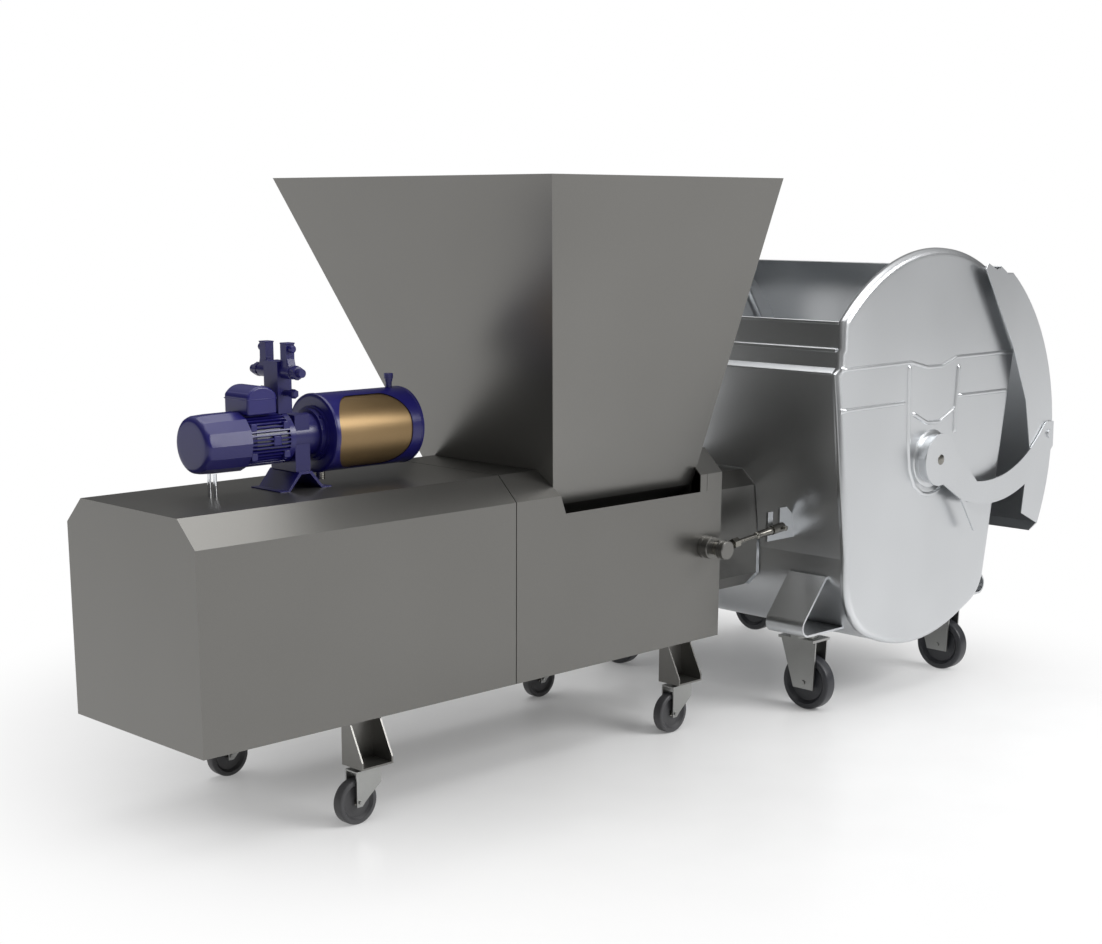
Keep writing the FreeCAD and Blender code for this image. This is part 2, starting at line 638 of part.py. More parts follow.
side_walls = []
for side, foot_y, sign in both("hopper_side - hopper_sheet", "hopper_side"):
    mouth_y = both("mouth_side - hopper_sheet", "mouth_side")[0 if side == "near" else 1][1]
    side_walls.append(leaning_wall("hopper_side_%s" % side,
                                   (("hopper_rear", "hopper_front"), foot_y),
                                   (("mouth_rear", "mouth_front"), mouth_y)))
node(group("hopper_side_walls", *side_walls), "hopper_side_walls")

inner_foot = ("-hopper_side + hopper_sheet", "hopper_side - hopper_sheet")
inner_mouth = ("-mouth_side + hopper_sheet", "mouth_side - hopper_sheet")
end_walls = [
    leaning_wall("hopper_rear_end", (("hopper_rear", "hopper_rear + hopper_sheet"), inner_foot),
                 (("mouth_rear", "mouth_rear + hopper_sheet"), inner_mouth)),
    leaning_wall("hopper_front_end", (("hopper_front - hopper_sheet", "hopper_front"), inner_foot),
                 (("mouth_front - hopper_sheet", "mouth_front"), inner_mouth))]
node(group("hopper_end_walls", *end_walls), "hopper_end_walls")

# ---- press chamber: an eight-sided tube, open at the top under the hopper ----

chamber_skin = cut("chamber_skin",
                   prism("chamber_outer", "x", ("chamber_rear", "hopper_front"), octagon("0")),
                   prism("chamber_inner", "x", ("chamber_rear - spout_wall", "hopper_front + spout_wall"),
                         octagon("spout_wall")),
                   box("feed_opening", ("feed_start", "feed_end"), ("-half_width", "half_width"),
                       ("flare_foot", "deck")))
flares = [prism("feed_flare_%s" % side, "x", ("feed_start", "feed_end"), [
    (sign + "(spout_half_width - spout_wall)", "flare_foot"),
    (sign + "spout_half_width", "flare_foot"),
    (sign + "hopper_side", "hopper_foot"),
    (sign + "(hopper_side - spout_wall)", "hopper_foot"),
]) for side, span, sign in both("0", "1")]
frame_span = ("-hopper_side", "hopper_side")
feed_frames = [box("feed_frame_rear", ("feed_start - spout_wall", "feed_start"), frame_span,
                   ("flare_foot", "hopper_foot")),
               box("feed_frame_front", ("feed_end", "hopper_front"), frame_span,
                   ("flare_foot", "hopper_foot"))]
frame_bore = prism("frame_bore", "x", ("chamber_rear - spout_wall", "hopper_front + spout_wall"),
                   octagon("spout_wall"))
chamber_blank = fuse("chamber_blank", chamber_skin, *flares, *feed_frames)
node(cut("press_chamber", chamber_blank, frame_bore), "press_chamber")

node(cut("docking_spout",
         prism("spout_outer", "x", ("hopper_front", "spout_end"), octagon("0")),
         prism("spout_inner", "x", ("hopper_front - spout_wall", "spout_end + spout_wall"),
               octagon("spout_wall"))), "docking_spout")

# ---- ram, wear strips, cylinder ----

ram_inset = "(spout_wall + ram_gap)"
ram_cup = cut("ram_cup",
              prism("ram_outer", "x", ("ram_rear", "ram_front"), octagon(ram_inset)),
              prism("ram_inner", "x", ("ram_rear - ram_wall", "ram_front - ram_face"),
                    octagon("(spout_wall + ram_gap + ram_wall)")))
node(ram_cup, "ram")

strip_in = "spout_half_width - spout_wall - ram_gap"
strip_out = "spout_half_width - spout_wall - strip_gap"
strip_x = ("ram_rear + ram_wall", "ram_front - ram_wall")
side_strips = [box("side_strip_%s_%d" % (side, i), strip_x, span, (z, "%s + strip_width" % z))
               for side, span, _ in both(strip_in, strip_out)
               for i, z in enumerate(("spout_low + spout_chamfer + strip_width",
                                      "spout_high - spout_chamfer - 2 * strip_width"))]
floor_strips = [box("floor_strip_%s" % side, strip_x, span,
                    ("spout_low + spout_wall + strip_gap", "spout_low + spout_wall + ram_gap"))
                for side, span, _ in both("strip_width / 2", "strip_width * 3 / 2")]
node(group("ram_wear_strips", *side_strips, *floor_strips), "ram_wear_strips")

axis_z = ("0", "cylinder_height")
barrel = cut("barrel_tube",
             rod("barrel_outer", "x", ("barrel_rear", "barrel_front"), axis_z, "barrel_radius"),
             rod("barrel_inner", "x", ("barrel_rear + barrel_cap", "barrel_front - rod_radius"),
                 axis_z, "barrel_bore"),
             rod("gland_bore", "x", ("barrel_front - 2 * rod_radius", "barrel_front + rod_radius"),
                 axis_z, "rod_radius + slide_gap"))
barrel_foot = box("barrel_foot", ("barrel_rear", "barrel_rear + rail_width"),
                  ("-barrel_radius", "barrel_radius"),
                  ("floor_clearance + floor_sheet + rail_height", "cylinder_height"))
foot_bore = rod("foot_bore", "x", ("barrel_rear + barrel_cap", "barrel_front"), axis_z, "barrel_bore")
node(cut("cylinder_barrel", fuse("barrel_on_foot", barrel, cut("foot_clear", barrel_foot, foot_bore)),
         rod("rod_way", "x", ("barrel_front - 2 * rod_radius", "barrel_front + rod_radius"),
             axis_z, "rod_radius + slide_gap")), "cylinder_barrel")

piston_start = "barrel_rear + barrel_cap + rod_radius"
node(fuse("piston_rod",
          rod("rod_bar", "x", (piston_start, "ram_front - ram_face"), axis_z, "rod_radius"),
          rod("piston", "x", (piston_start, "%s + piston_length" % piston_start), axis_z,
              "barrel_bore - seal_gap")), "piston_rod")

# ---- press castors ----

WHEELS = [("rear", "leg_x_rear"), ("front", "leg_x_front")]
legs = []
for end, x in WHEELS:
    for side, _, sign in both("0", "1"):
        name = "%s_%s" % (end, side)
        outer, inner = "(leg_y + leg_depth / 2)", "(leg_y - leg_depth / 2)"
        top = "floor_clearance"
        flank = [(sign + inner, "leg_foot"), (sign + outer, "leg_foot"),
                 (sign + outer, "leg_foot + leg_kick"),
                 (sign + "(leg_y - leg_depth / 2 + leg_top_depth)", top), (sign + inner, top)]
        blank = prism("leg_%s" % name, "x", ("%s - leg_width / 2" % x, "%s + leg_width / 2" % x), flank)
        hollow_y = both(inner + " + leg_sheet", outer + " + leg_sheet")[0 if side == "near" else 1][1]
        hollow = box("leg_hollow_%s" % name,
                     ("%s - leg_width / 2 + leg_sheet" % x, "%s + leg_width / 2 - leg_sheet" % x),
                     hollow_y, ("leg_foot + leg_sheet", "floor_clearance + leg_sheet"))
        legs.append(cut("leg_shell_%s" % name, blank, hollow))
node(group("caster_legs", *legs), "caster_legs")


def press_caster(end, x, side, sign):
    """A swivel fork that trails towards the rear, and its wheel."""
    name = "%s_%s" % (end, side)
    y = sign + "leg_y"
    axle_x = "%s - press_trail" % x
    reach = "(press_fork_in + press_fork_sheet)"
    top = "fork_top"
    rear = "%s - press_fork_rear" % axle_x
    front = "%s + press_fork_front" % x
    plate = box("fork_plate_" + name, (rear, front),
                ("%s - %s" % (y, reach), "%s + %s" % (y, reach)), (top + " - press_fork_sheet", top))
    race = rod("race_" + name, "z", (top, "leg_foot - swivel_gap"), (x, y), "race_radius")
    tip = "press_wheel_radius - press_fork_rear"
    flank = [(rear, top), (front, top), (front, top + " - press_fork_drop"),
             ("%s + 1.4 * press_fork_rear" % axle_x, "press_wheel_radius"),
             ("%s + press_fork_rear / 2" % axle_x, tip), (rear, tip)]
    low, high = "%s - %s" % (y, reach), "%s + %s" % (y, reach)
    cheeks = [prism("fork_cheek_a_" + name, "y", (low, "%s - press_fork_in" % y), flank),
              prism("fork_cheek_b_" + name, "y", ("%s + press_fork_in" % y, high), flank)]
    axle = rod("axle_" + name, "y", (low + " - press_fork_sheet", high + " + press_fork_sheet"),
               (axle_x, "press_wheel_radius"), "press_axle_radius")
    node(fuse("press_fork_" + name, plate, race, axle, *cheeks), "press_fork_" + name)
    half = "press_wheel_width / 2"
    tread = rod("tread_" + name, "y", ("%s - %s" % (y, half), "%s + %s" % (y, half)),
                (axle_x, "press_wheel_radius"), "press_wheel_radius")
    recess = [rod("recess_%s_%s" % (which, name), "y", span, (axle_x, "press_wheel_radius"),
                  "press_wheel_radius * 0.6")
              for which, span in (("a", ("%s - press_wheel_width" % y, "%s - press_wheel_width / 4" % y)),
                                  ("b", ("%s + press_wheel_width / 4" % y, "%s + press_wheel_width" % y)))]
    hub = rod("wheel_hub_" + name, "y", ("%s - %s" % (y, half), "%s + %s" % (y, half)),
              (axle_x, "press_wheel_radius"), "press_axle_radius * 2")
    bore = rod("wheel_bore_" + name, "y", ("%s - press_wheel_width" % y, "%s + press_wheel_width" % y),
               (axle_x, "press_wheel_radius"), "press_axle_radius + slide_gap")
    rim = cut("wheel_rim_" + name, tread, *recess)
    node(cut("press_wheel_" + name, fuse("wheel_blank_" + name, rim, hub), bore), "press_wheel_" + name)


for end, x in WHEELS:
    for side, _, sign in both("0", "1"):
        press_caster(end, x, side, sign)

# ---- power pack on the deck ----

pack_axis = ("0", "pack_z")
cowl_solid = rod("cowl_solid", "x", ("cowl_start", "cowl_end"), pack_axis, "cowl_radius")
node(cut("fan_cowl", cowl_solid,
         rod("cowl_inside", "x", ("cowl_start + cowl_sheet", "cowl_end + cowl_sheet"), pack_axis,
             "cowl_radius - cowl_sheet")), "fan_cowl")

node(cut("motor_frame",
         rod("frame_outer", "x", ("cowl_end", "motor_end"), pack_axis, "motor_radius"),
         rod("frame_inner", "x", ("cowl_end + motor_wall", "motor_end + motor_wall"), pack_axis,
             "motor_radius - motor_wall"),
         rod("rear_bearing", "x", ("cowl_end - motor_wall", "motor_end"), pack_axis,
             "shaft_radius + slide_gap")), "motor_frame")

node(cut("motor_stator",
         rod("stator_outer", "x", ("cowl_end + 3 * motor_wall", "motor_end - motor_wall"), pack_axis,
             "motor_radius - motor_wall"),
         rod("stator_inner", "x", ("cowl_end", "motor_end"), pack_axis, "stator_radius")), "motor_stator")

node(fuse("motor_rotor",
          rod("motor_shaft", "x", ("cowl_start + 4 * cowl_sheet", "carrier_end - motor_wall"), pack_axis,
              "shaft_radius"),
          rod("rotor_core", "x", ("cowl_end + 3 * motor_wall", "motor_end - motor_wall"), pack_axis,
              "rotor_radius"),
          rod("fan_disc", "x", ("cowl_end - fan_width - 3 * motor_wall", "cowl_end - 3 * motor_wall"),
              pack_axis, "fan_radius")), "motor_rotor")

carrier_block = box("carrier_block", ("bell_end", "bell_end + carrier_block_length"),
                    ("-carrier_half", "carrier_half"), ("pack_z - carrier_low", "pack_z + carrier_high"))
carrier = fuse("carrier_blank", carrier_block,
               rod("drive_bell", "x", ("motor_end", "bell_end"), pack_axis, "motor_radius - motor_wall"),
               rod("carrier_neck_ring", "x", ("bell_end", "carrier_end"), pack_axis, "carrier_neck"))
node(cut("pump_carrier", carrier,
         rod("shaft_way", "x", ("motor_end - motor_wall", "carrier_end - motor_wall / 2"), pack_axis,
             "shaft_radius + slide_gap")), "pump_carrier")

pump_case = rod("pump_case", "x", ("carrier_end + tank_flange", "carrier_end + tank_flange + pump_length"),
                pack_axis, "pump_radius")
node(group("gear_pump", pump_case), "gear_pump")

window = round_edges(
    prism("window_tool", "y", ("-2 * tank_radius", "-window_depth"), [
        ("carrier_end + window_front", "pack_z - window_half"),
        ("tank_end - window_rear", "pack_z - window_half"),
        ("tank_end - window_rear", "pack_z + window_half"),
        ("carrier_end + window_front", "pack_z + window_half")]),
    "window_round", lambda edge: runs_along(edge, ALONG_Y))
filler_neck = rod("filler_neck", "z", ("pack_z", "pack_z + tank_radius + neck_height"),
                  ("carrier_end + cap_place", "0"), "neck_radius")
tank_outer = rod("tank_outer", "x", ("carrier_end", "tank_end"), pack_axis, "tank_radius")
tank_blank = fuse("tank_blank", tank_outer, filler_neck)
tank_inside = rod("tank_inside", "x", ("carrier_end + tank_flange", "tank_end - tank_flange"), pack_axis,
                  "tank_radius - tank_wall")
neck_bore = rod("neck_bore", "z", ("pack_z", "pack_z + tank_radius + 2 * neck_height"),
                ("carrier_end + cap_place", "0"), "neck_radius - tank_wall")
node(cut("tank_shell", tank_blank, tank_inside, neck_bore, window), "tank_shell")

node(cut("tank_liner",
         rod("liner_outer", "x", ("carrier_end + tank_flange", "tank_end - tank_flange"), pack_axis,
             "tank_radius - tank_wall - liner_gap"),
         rod("liner_inner", "x", ("carrier_end", "tank_end"), pack_axis,
             "tank_radius - tank_wall - liner_gap - liner_wall")), "tank_liner")

cap_z = "pack_z + tank_radius + neck_height"
cap_at = ("carrier_end + cap_place", "0")
node(fuse("filler_cap",
          rod("cap_head", "z", (cap_z + " + swivel_gap", cap_z + " + swivel_gap + cap_height"), cap_at,
              "cap_radius"),
          rod("cap_stem", "z", (cap_z + " - neck_height", cap_z + " + cap_height"), cap_at,
              "neck_radius - tank_wall - swivel_gap")), "filler_cap")

plug_z = "pack_z - tank_radius"
node(cut("drain_plug",
         rod("plug_solid", "z", (plug_z + " - plug_height", "pack_z"),
             ("carrier_end + plug_place", "0"), "plug_radius"),
         rod("plug_trim", "x", ("carrier_end", "tank_end"), pack_axis, "tank_radius")), "drain_plug")

leg_out, top_out = "foot_spread / 2", "foot_top / 2"
foot_high = "pack_z - carrier_low"
pack_foot = prism("pack_foot", "y", ("-foot_width / 2", "foot_width / 2"), [
    ("foot_x - (%s) - foot_flange" % leg_out, "deck"),
    ("foot_x - (%s) + foot_sheet" % leg_out, "deck"),
    ("foot_x - (%s) + foot_sheet" % top_out, foot_high + " - foot_sheet"),
    ("foot_x + (%s) - foot_sheet" % top_out, foot_high + " - foot_sheet"),
    ("foot_x + (%s) - foot_sheet" % leg_out, "deck"),
    ("foot_x + (%s) + foot_flange" % leg_out, "deck"),
    ("foot_x + (%s) + foot_flange" % leg_out, "deck + foot_sheet / 2"),
    ("foot_x + (%s)" % leg_out, "deck + foot_sheet / 2"),
    ("foot_x + (%s)" % top_out, foot_high),
    ("foot_x - (%s)" % top_out, foot_high),
    ("foot_x - (%s)" % leg_out, "deck + foot_sheet / 2"),
    ("foot_x - (%s) - foot_flange" % leg_out, "deck + foot_sheet / 2")])
node(pack_foot, "pack_foot")

box_x = ("cowl_end + box_offset", "cowl_end + box_offset + box_length")
box_z = ("pack_z + box_bottom", "pack_z + box_top")
terminal_outer = round_edges(
    prism("terminal_outer", "x", box_x, [("-box_width / 2", box_z[0]), ("box_width / 2", box_z[0]),
                                         ("box_width / 2", box_z[1]), ("-box_width / 2", box_z[1])]),
    "box_round",
    lambda edge: runs_along(edge, ALONG_X) and edge.BoundBox.ZMin > number(box_z[0]) + 1)
terminal_hollow = box("terminal_hollow", (box_x[0] + " + box_wall", box_x[1] + " - box_wall"),
                      ("-box_width / 2 + box_wall", "box_width / 2 - box_wall"),
                      ("pack_z + motor_radius + box_wall", "pack_z + box_top - box_round"))
gland = rod("gland_hole", "y", ("0", "box_width"),
            (box_x[0] + " + box_length / 2", "pack_z + motor_radius + box_wall + gland_radius * 1.2"),
            "gland_radius")
node(cut("terminal_box", terminal_outer,
         rod("motor_seat", "x", ("cowl_start", "tank_end"), pack_axis, "motor_radius"),
         terminal_hollow, gland), "terminal_box")

manifold_x = ("manifold_x", "manifold_x + manifold_length")
block_mid = "manifold_x + manifold_length / 2"
node(cut("valve_manifold",
         box("manifold_block", manifold_x, ("-manifold_width / 2", "manifold_width / 2"),
             ("pack_z + motor_radius / 2", "pack_z + manifold_top")),
         rod("manifold_seat", "x", ("cowl_start", "tank_end"), pack_axis, "motor_radius"),
         box("manifold_step", ("bell_end", "tank_end"), ("-box_width", "box_width"),
             ("pack_z - tank_radius", "pack_z + carrier_high"))), "valve_manifold")

coils, valves = [], []
for side, span, sign in both("manifold_width / 2", "coil_reach"):
    coils.append(rod("coil_" + side, "y", span, (block_mid, "pack_z + coil_height"), "coil_radius"))
    low_span = both("manifold_width / 2", "lower_valve_reach")[0 if side == "near" else 1][1]
    coils.append(rod("lower_valve_" + side, "y", low_span, (block_mid, "pack_z + lower_valve_height"),
                     "lower_valve_radius"))
    head_y = both("head_place - head_side / 2", "head_place + head_side / 2")[0 if side == "near" else 1][1]
    knob_y = both("head_place + head_side / 2",
                  "head_place + head_side / 2 + knob_length")[0 if side == "near" else 1][1]
    head = box("head_" + side, (block_mid + " - head_side / 2", block_mid + " + head_side / 2"), head_y,
               ("pack_z + coil_height", "pack_z + head_top"))
    knob = rod("knob_" + side, "y", knob_y, (block_mid, "pack_z + head_top - head_side / 2"), "knob_radius")
    seat = rod("head_seat_" + side, "y", ("-coil_reach", "coil_reach"), (block_mid, "pack_z + coil_height"),
               "coil_radius")
    clear = box("head_clear_" + side, manifold_x, ("-manifold_width / 2", "manifold_width / 2"),
                ("pack_z", "pack_z + manifold_top"))
    valves.append(cut("valve_head_" + side, fuse("head_knob_" + side, head, knob), seat, clear))
node(group("solenoid_valves", *coils), "solenoid_valves")
node(group("relief_valves", *valves), "relief_valves")

studs = [cut("stud_" + side,
             rod("stud_rod_" + side, "z", ("deck", "pack_z"), ("stud_place", sign + "stud_half"),
                 "stud_radius"),
             rod("stud_trim_" + side, "x", ("cowl_start", "cowl_end"), pack_axis, "cowl_radius"))
         for side, _, sign in both("0", "1")]
node(group("support_studs", *studs), "support_studs")

# Two rigid pipes drop from the pump foot through the deck and run level to the barrel's rear.
pipes = []
for side, _, sign in both("0", "1"):
    y = sign + "pipe_half"
    level = "deck - sheet - pipe_drop"
    far_x = "barrel_rear + rail_width" if side == "near" else "barrel_rear + 2 * rail_width"
    drop = rod("pipe_drop_" + side, "z", (level, "deck - sheet"), ("foot_x", y), "pipe_radius")
    run = rod("pipe_run_" + side, "x", (far_x, "foot_x"), (y, level), "pipe_radius")
    port = rod("pipe_port_" + side, "z", ("cylinder_height + barrel_radius - pipe_radius", level),
               (far_x, y), "pipe_radius")
    bends = [part("Sphere", "pipe_bend_%s_%d" % (side, i), Radius="pipe_radius", Placement__Base__x=bend_x,
                  Placement__Base__y=y, Placement__Base__z=level)
             for i, bend_x in enumerate(("foot_x", far_x))]
    trim = rod("pipe_trim_" + side, "x", ("barrel_rear", "barrel_front"), axis_z, "barrel_radius")
    pipes.append(cut("pipe_" + side, fuse("pipe_line_" + side, drop, run, port, *bends), trim))
node(group("hydraulic_pipes", *pipes), "hydraulic_pipes")

# ---- tie rods and their bosses ----

bosses = []
for side, _, sign in both("0", "1"):
    at = ("boss_x", "boss_z")
    pick = 0 if side == "near" else 1
    bosses.append(fuse("boss_" + side,
                       rod("boss_base_" + side, "y", both("half_width", "boss_shoulder")[pick][1], at,
                           "boss_radius"),
                       rod("boss_neck_" + side, "y", both("half_width", "boss_neck_end")[pick][1], at,
                           "boss_neck"),
                       rod("boss_pin_" + side, "y", both("half_width", "cap_in + boss_cap_length")[pick][1],
                           at, "boss_pin"),
                       rod("boss_cap_" + side, "y", both("cap_in", "cap_in + boss_cap_length")[pick][1], at,
                           "boss_cap")))
node(group("tie_rod_bosses", *bosses), "tie_rod_bosses")


def tie_rod(side, sign):
    """A rod with an eye at the boss and a cross pin in the hook plate's slot.

    It is built level, with the eye's centre at the origin, and then turned and placed.
    """
    half = "eye_width / 2"
    eye = rod("tie_eye_" + side, "y", ("-(%s)" % half, half), ("0", "0"), "eye_radius")
    bar = rod("tie_bar_" + side, "x", ("0", "tie_length"), ("0", "0"), "rod_half")
    collar = rod("tie_collar_" + side, "x", ("tie_length - 3 * rod_collar", "tie_length + cross_pin * 2"),
                 ("0", "0"), "rod_collar")
    out = "rod_collar + cross_pin"
    into = "rod_collar + 2 * hook_gap + hook_sheet"
    pin_span = ("-(%s)" % out, into) if side == "near" else ("-(%s)" % into, out)
    pin = rod("tie_cross_" + side, "y", pin_span, ("tie_length", "0"), "cross_pin")
    bore = rod("tie_bore_" + side, "y", ("-eye_width", "eye_width"), ("0", "0"), "boss_pin + slide_gap")
    tie = cut("tie_rod_" + side, fuse("tie_blank_" + side, eye, bar, collar, pin), bore)
    nut = cut("tie_nut_" + side,
              part("Prism", "nut_blank_" + side, Circumradius="nut_radius", Height="nut_length"),
              part("Cylinder", "nut_bore_" + side, Radius="rod_half + slide_gap", Height="nut_length"))
    angle = "-atan(rod_rise / rod_reach)"
    for thing, turn, start in ((tie, "0 deg", "0"), (nut, "90 deg", "nut_place")):
        node(thing, thing.Name)
        thing.Placement = FreeCAD.Placement(FreeCAD.Vector(), FreeCAD.Rotation(ALONG_Y, 10))
        bind(thing, Placement__Rotation__Angle="%s + %s" % (angle, turn),
             Placement__Base__x="boss_x - middle + (%s) * rod_reach / tie_length" % start,
             Placement__Base__y=sign + "tie_y",
             Placement__Base__z="boss_z + (%s) * rod_rise / tie_length" % start)


for side, _, sign in both("0", "1"):
    tie_rod(side, sign)

# ---- container ----


def trough_outline(inset, front_top, rear_top):
    """Front rim, steps, front wall, three-fold bottom and rear wall, drawn in by an inset."""
    return [
        ("hub_x - rim_front_x + %s" % inset, front_top),
        ("hub_x - rim_front_x + %s" % inset, "step_z"),
        ("hub_x - step_x + %s" % inset, "step_z - step_drop"),
        ("hub_x - step_x + step_lean + %s" % inset, "step_low_z"),
        ("hub_x - ledge_x + %s" % inset, "ledge_z"),
        ("hub_x - front_low_x + %s" % inset, "front_low_z"),
        ("hub_x - front_foot_x + %s" % inset, "front_foot_z + (%s) * fold_rise" % inset),
        ("hub_x - keel_x", "keel_z + (%s) * keel_rise" % inset),
        ("hub_x + rear_foot_x - (%s) * fold_draw" % inset, "rear_foot_z + (%s) * fold_rise" % inset),
        ("hub_x + rim_rear_x - %s" % inset, rear_top),
    ]


def trough_prism(name, span, inset, front_top, rear_top, extra=(), arcs=None):
    """A solid with the container's outline and its three bottom folds rounded."""
    outline = trough_outline(inset, front_top, rear_top) + list(extra)
    body = prism(name, "y", span, outline, arcs)
    for corner, radius in ((6, "front_foot_round"), (7, "keel_round"), (8, "rear_foot_round")):
        x, z = outline[corner]
        round_edges(body, "%s - (%s)" % (radius, inset),
                    lambda edge: runs_along(edge, ALONG_Y) and near_point(edge, x, z))
    return body


inner_half = "container_half - panel_rim"
trough_outer = trough_prism("trough_outer", ("-(%s)" % inner_half, inner_half), "0",
                            "rim_front_z", "rim_rear_z")
trough_inner = trough_prism("trough_inner", ("-container_half", "container_half"), "trough_sheet",
                            "rim_front_z + trough_sheet", "rim_rear_z + trough_sheet")
port = prism("spout_port", "x", ("hub_x - ledge_x - ledge_x", "hub_x - front_foot_x + ledge_x / 2"),
             octagon("-port_gap"))
node(cut("container_trough", trough_outer, trough_inner, port), "container_trough")

arc_top = [("hub_x + panel_radius * cos(arc_end)", "hub_z + panel_radius * sin(arc_end)")]
arc_start_z = "hub_z + sqrt(panel_radius * panel_radius - rim_front_x * rim_front_x)"
end_panels = []
for side, span, sign in both("container_half - panel_rim", "container_half"):
    tray = trough_prism("panel_outer_" + side, span, "0", arc_start_z, "rim_rear_z", arc_top,
                        {10: ("panel_radius", 1)})
    hollow_span = both("container_half - 2 * panel_rim",
                       "container_half - panel_sheet")[0 if side == "near" else 1][1]
    inner_top = [("hub_x + (panel_radius - panel_sheet) * cos(arc_end)",
                  "hub_z + (panel_radius - panel_sheet) * sin(arc_end)")]
    inner_radius = "panel_radius - panel_sheet"
    inner_start = ("hub_z + sqrt((panel_radius - panel_sheet) * (panel_radius - panel_sheet)"
                   " - (rim_front_x - panel_sheet) * (rim_front_x - panel_sheet))")
    hollow = trough_prism("panel_inner_" + side, hollow_span, "panel_sheet", inner_start,
                          "rim_rear_z", inner_top, {10: (inner_radius, 1)})
    end_panels.append(cut("end_panel_" + side, tray, hollow))
node(group("container_end_panels", *end_panels), "container_end_panels")

trough_keepout = trough_prism("trough_keepout", ("-container_half", "container_half"), "0",
                              "rim_front_z", "rim_rear_z")

brackets = []
for end, sign_x, swivel in (("front", "-", "hub_x - tray_front"), ("rear", "+", "hub_x + tray_rear")):
    opposite = "+" if sign_x == "-" else "-"

    def bracket_outline(inset, slack):
        nose = "tray_nose_" + end
        return [("%s %s (%s - %s * 1.6)" % (swivel, sign_x, nose, inset), "tray_z + %s" % inset),
                ("%s %s tray_heel" % (swivel, opposite), "tray_z + %s" % inset),
                ("%s %s tray_heel" % (swivel, opposite), "tray_z + tray_rise - %s" % slack),
                ("%s %s (%s - tray_lean - %s * 0.4)" % (swivel, sign_x, nose, slack),
                 "tray_z + tray_rise - %s" % slack)]

    for side, span, _ in both("tray_y - tray_width / 2", "tray_y + tray_width / 2"):
        name = "%s_%s" % (end, side)
        shell = bracket_outline("0", "0")
        core = bracket_outline("tray_sheet", "tray_sheet * 1.4")
        nose_x, nose_z = shell[0]
        outer = round_edges(prism("tray_outer_" + name, "y", span, shell), "tray_round",
                            lambda edge: runs_along(edge, ALONG_Y) and near_point(edge, nose_x, nose_z))
        core_x, core_z = core[0]
        wide = both("tray_y - tray_width", "tray_y + tray_width")[0 if side == "near" else 1][1]
        inner = round_edges(prism("tray_inner_" + name, "y", wide, core), "tray_round - tray_sheet",
                            lambda edge: runs_along(edge, ALONG_Y) and near_point(edge, core_x, core_z))
        strip = cut("tray_strip_" + name, outer, inner)
        brackets.append(cut("bracket_" + name, strip, trough_keepout))
node(group("container_brackets", *brackets), "container_brackets")

plates = []
for side, span, sign in both("hook_y", "hook_y + hook_sheet"):
    left = "pin_x - hook_slot / 2"
    right = "pin_x + hook_slot / 2"
    blank = prism("hook_blank_" + side, "y", span, [
        (left + " - hook_prong", "slot_floor - hook_floor"),
        ("hub_x - front_foot_x", "slot_floor - hook_floor"),
        ("hub_x - front_foot_x", "slot_floor + hook_floor / 2"),
        (right + " + hook_shoulder", "slot_floor + hook_depth + hook_sheet"),
        (right, "slot_floor + hook_depth + hook_sheet"),
        (right, "slot_floor"),
        (left, "slot_floor"),
        (left, "slot_floor + hook_depth"),
        (left + " - hook_prong", "slot_floor + hook_depth")])
    plates.append(cut("hook_plate_" + side, blank, trough_keepout))
node(group("container_hook_plates", *plates), "container_hook_plates")

hubs = []
for side, span, sign in both("container_half", "lid_half"):
    pin_span = both("container_half", "hub_face + arm_sheet")[0 if side == "near" else 1][1]
    hubs.append(fuse("hub_" + side,
                     rod("hub_boss_" + side, "y", span, ("hub_x", "hub_z"), "hub_radius"),
                     rod("hub_pin_" + side, "y", pin_span, ("hub_x", "hub_z"), "hub_pin")))
node(group("container_hubs", *hubs), "container_hubs")


def bin_caster(end, swivel, side, sign):
    """A swivel fork whose wheel rolls across the press and trails away from the centre line."""
    name = "%s_%s" % (end, side)
    y = sign + "tray_y"
    axle_y = sign + "(tray_y + bin_trail)"
    top = "race_top - bin_race_height"
    race = rod("bin_race_" + name, "z", (top, "race_top"), (swivel, y), "bin_race_radius")
    reach = "(bin_fork_in + bin_fork_sheet)"
    plate = box("bin_plate_" + name, ("%s - bin_plate_length / 2" % swivel,
                                      "%s + bin_plate_length / 2" % swivel),
                ("%s - bin_fork_top / 2" % y, "%s + bin_fork_top / 2" % y), (top + " - bin_plate", top))
    flank = [("%s - bin_fork_top / 2" % y, top + " - bin_plate / 2"),
             ("%s - bin_fork_foot / 2" % axle_y, "bin_wheel_radius * 0.78"),
             ("%s + bin_fork_foot / 2" % axle_y, "bin_wheel_radius * 0.78"),
             ("%s + bin_fork_top / 2" % y, top + " - bin_plate / 2")]
    cheeks = [prism("bin_cheek_a_" + name, "x",
                    ("%s - %s" % (swivel, reach), "%s - bin_fork_in" % swivel), flank),
              prism("bin_cheek_b_" + name, "x",
                    ("%s + bin_fork_in" % swivel, "%s + %s" % (swivel, reach)), flank)]
    axle = rod("bin_axle_" + name, "x", ("%s - %s - bin_fork_sheet" % (swivel, reach),
                                         "%s + %s + bin_fork_sheet" % (swivel, reach)),
               (axle_y, "bin_wheel_radius"), "bin_axle_radius")
    node(fuse("container_fork_" + name, plate, race, axle, *cheeks), "container_fork_" + name)
    half = "bin_wheel_width / 2"
    span = ("%s - %s" % (swivel, half), "%s + %s" % (swivel, half))
    wheel = rod("bin_tread_" + name, "x", span, (axle_y, "bin_wheel_radius"), "bin_wheel_radius")
    bore = rod("bin_bore_" + name, "x", span, (axle_y, "bin_wheel_radius"), "bin_axle_radius + slide_gap")
    node(cut("container_wheel_" + name, wheel, bore), "container_wheel_" + name)


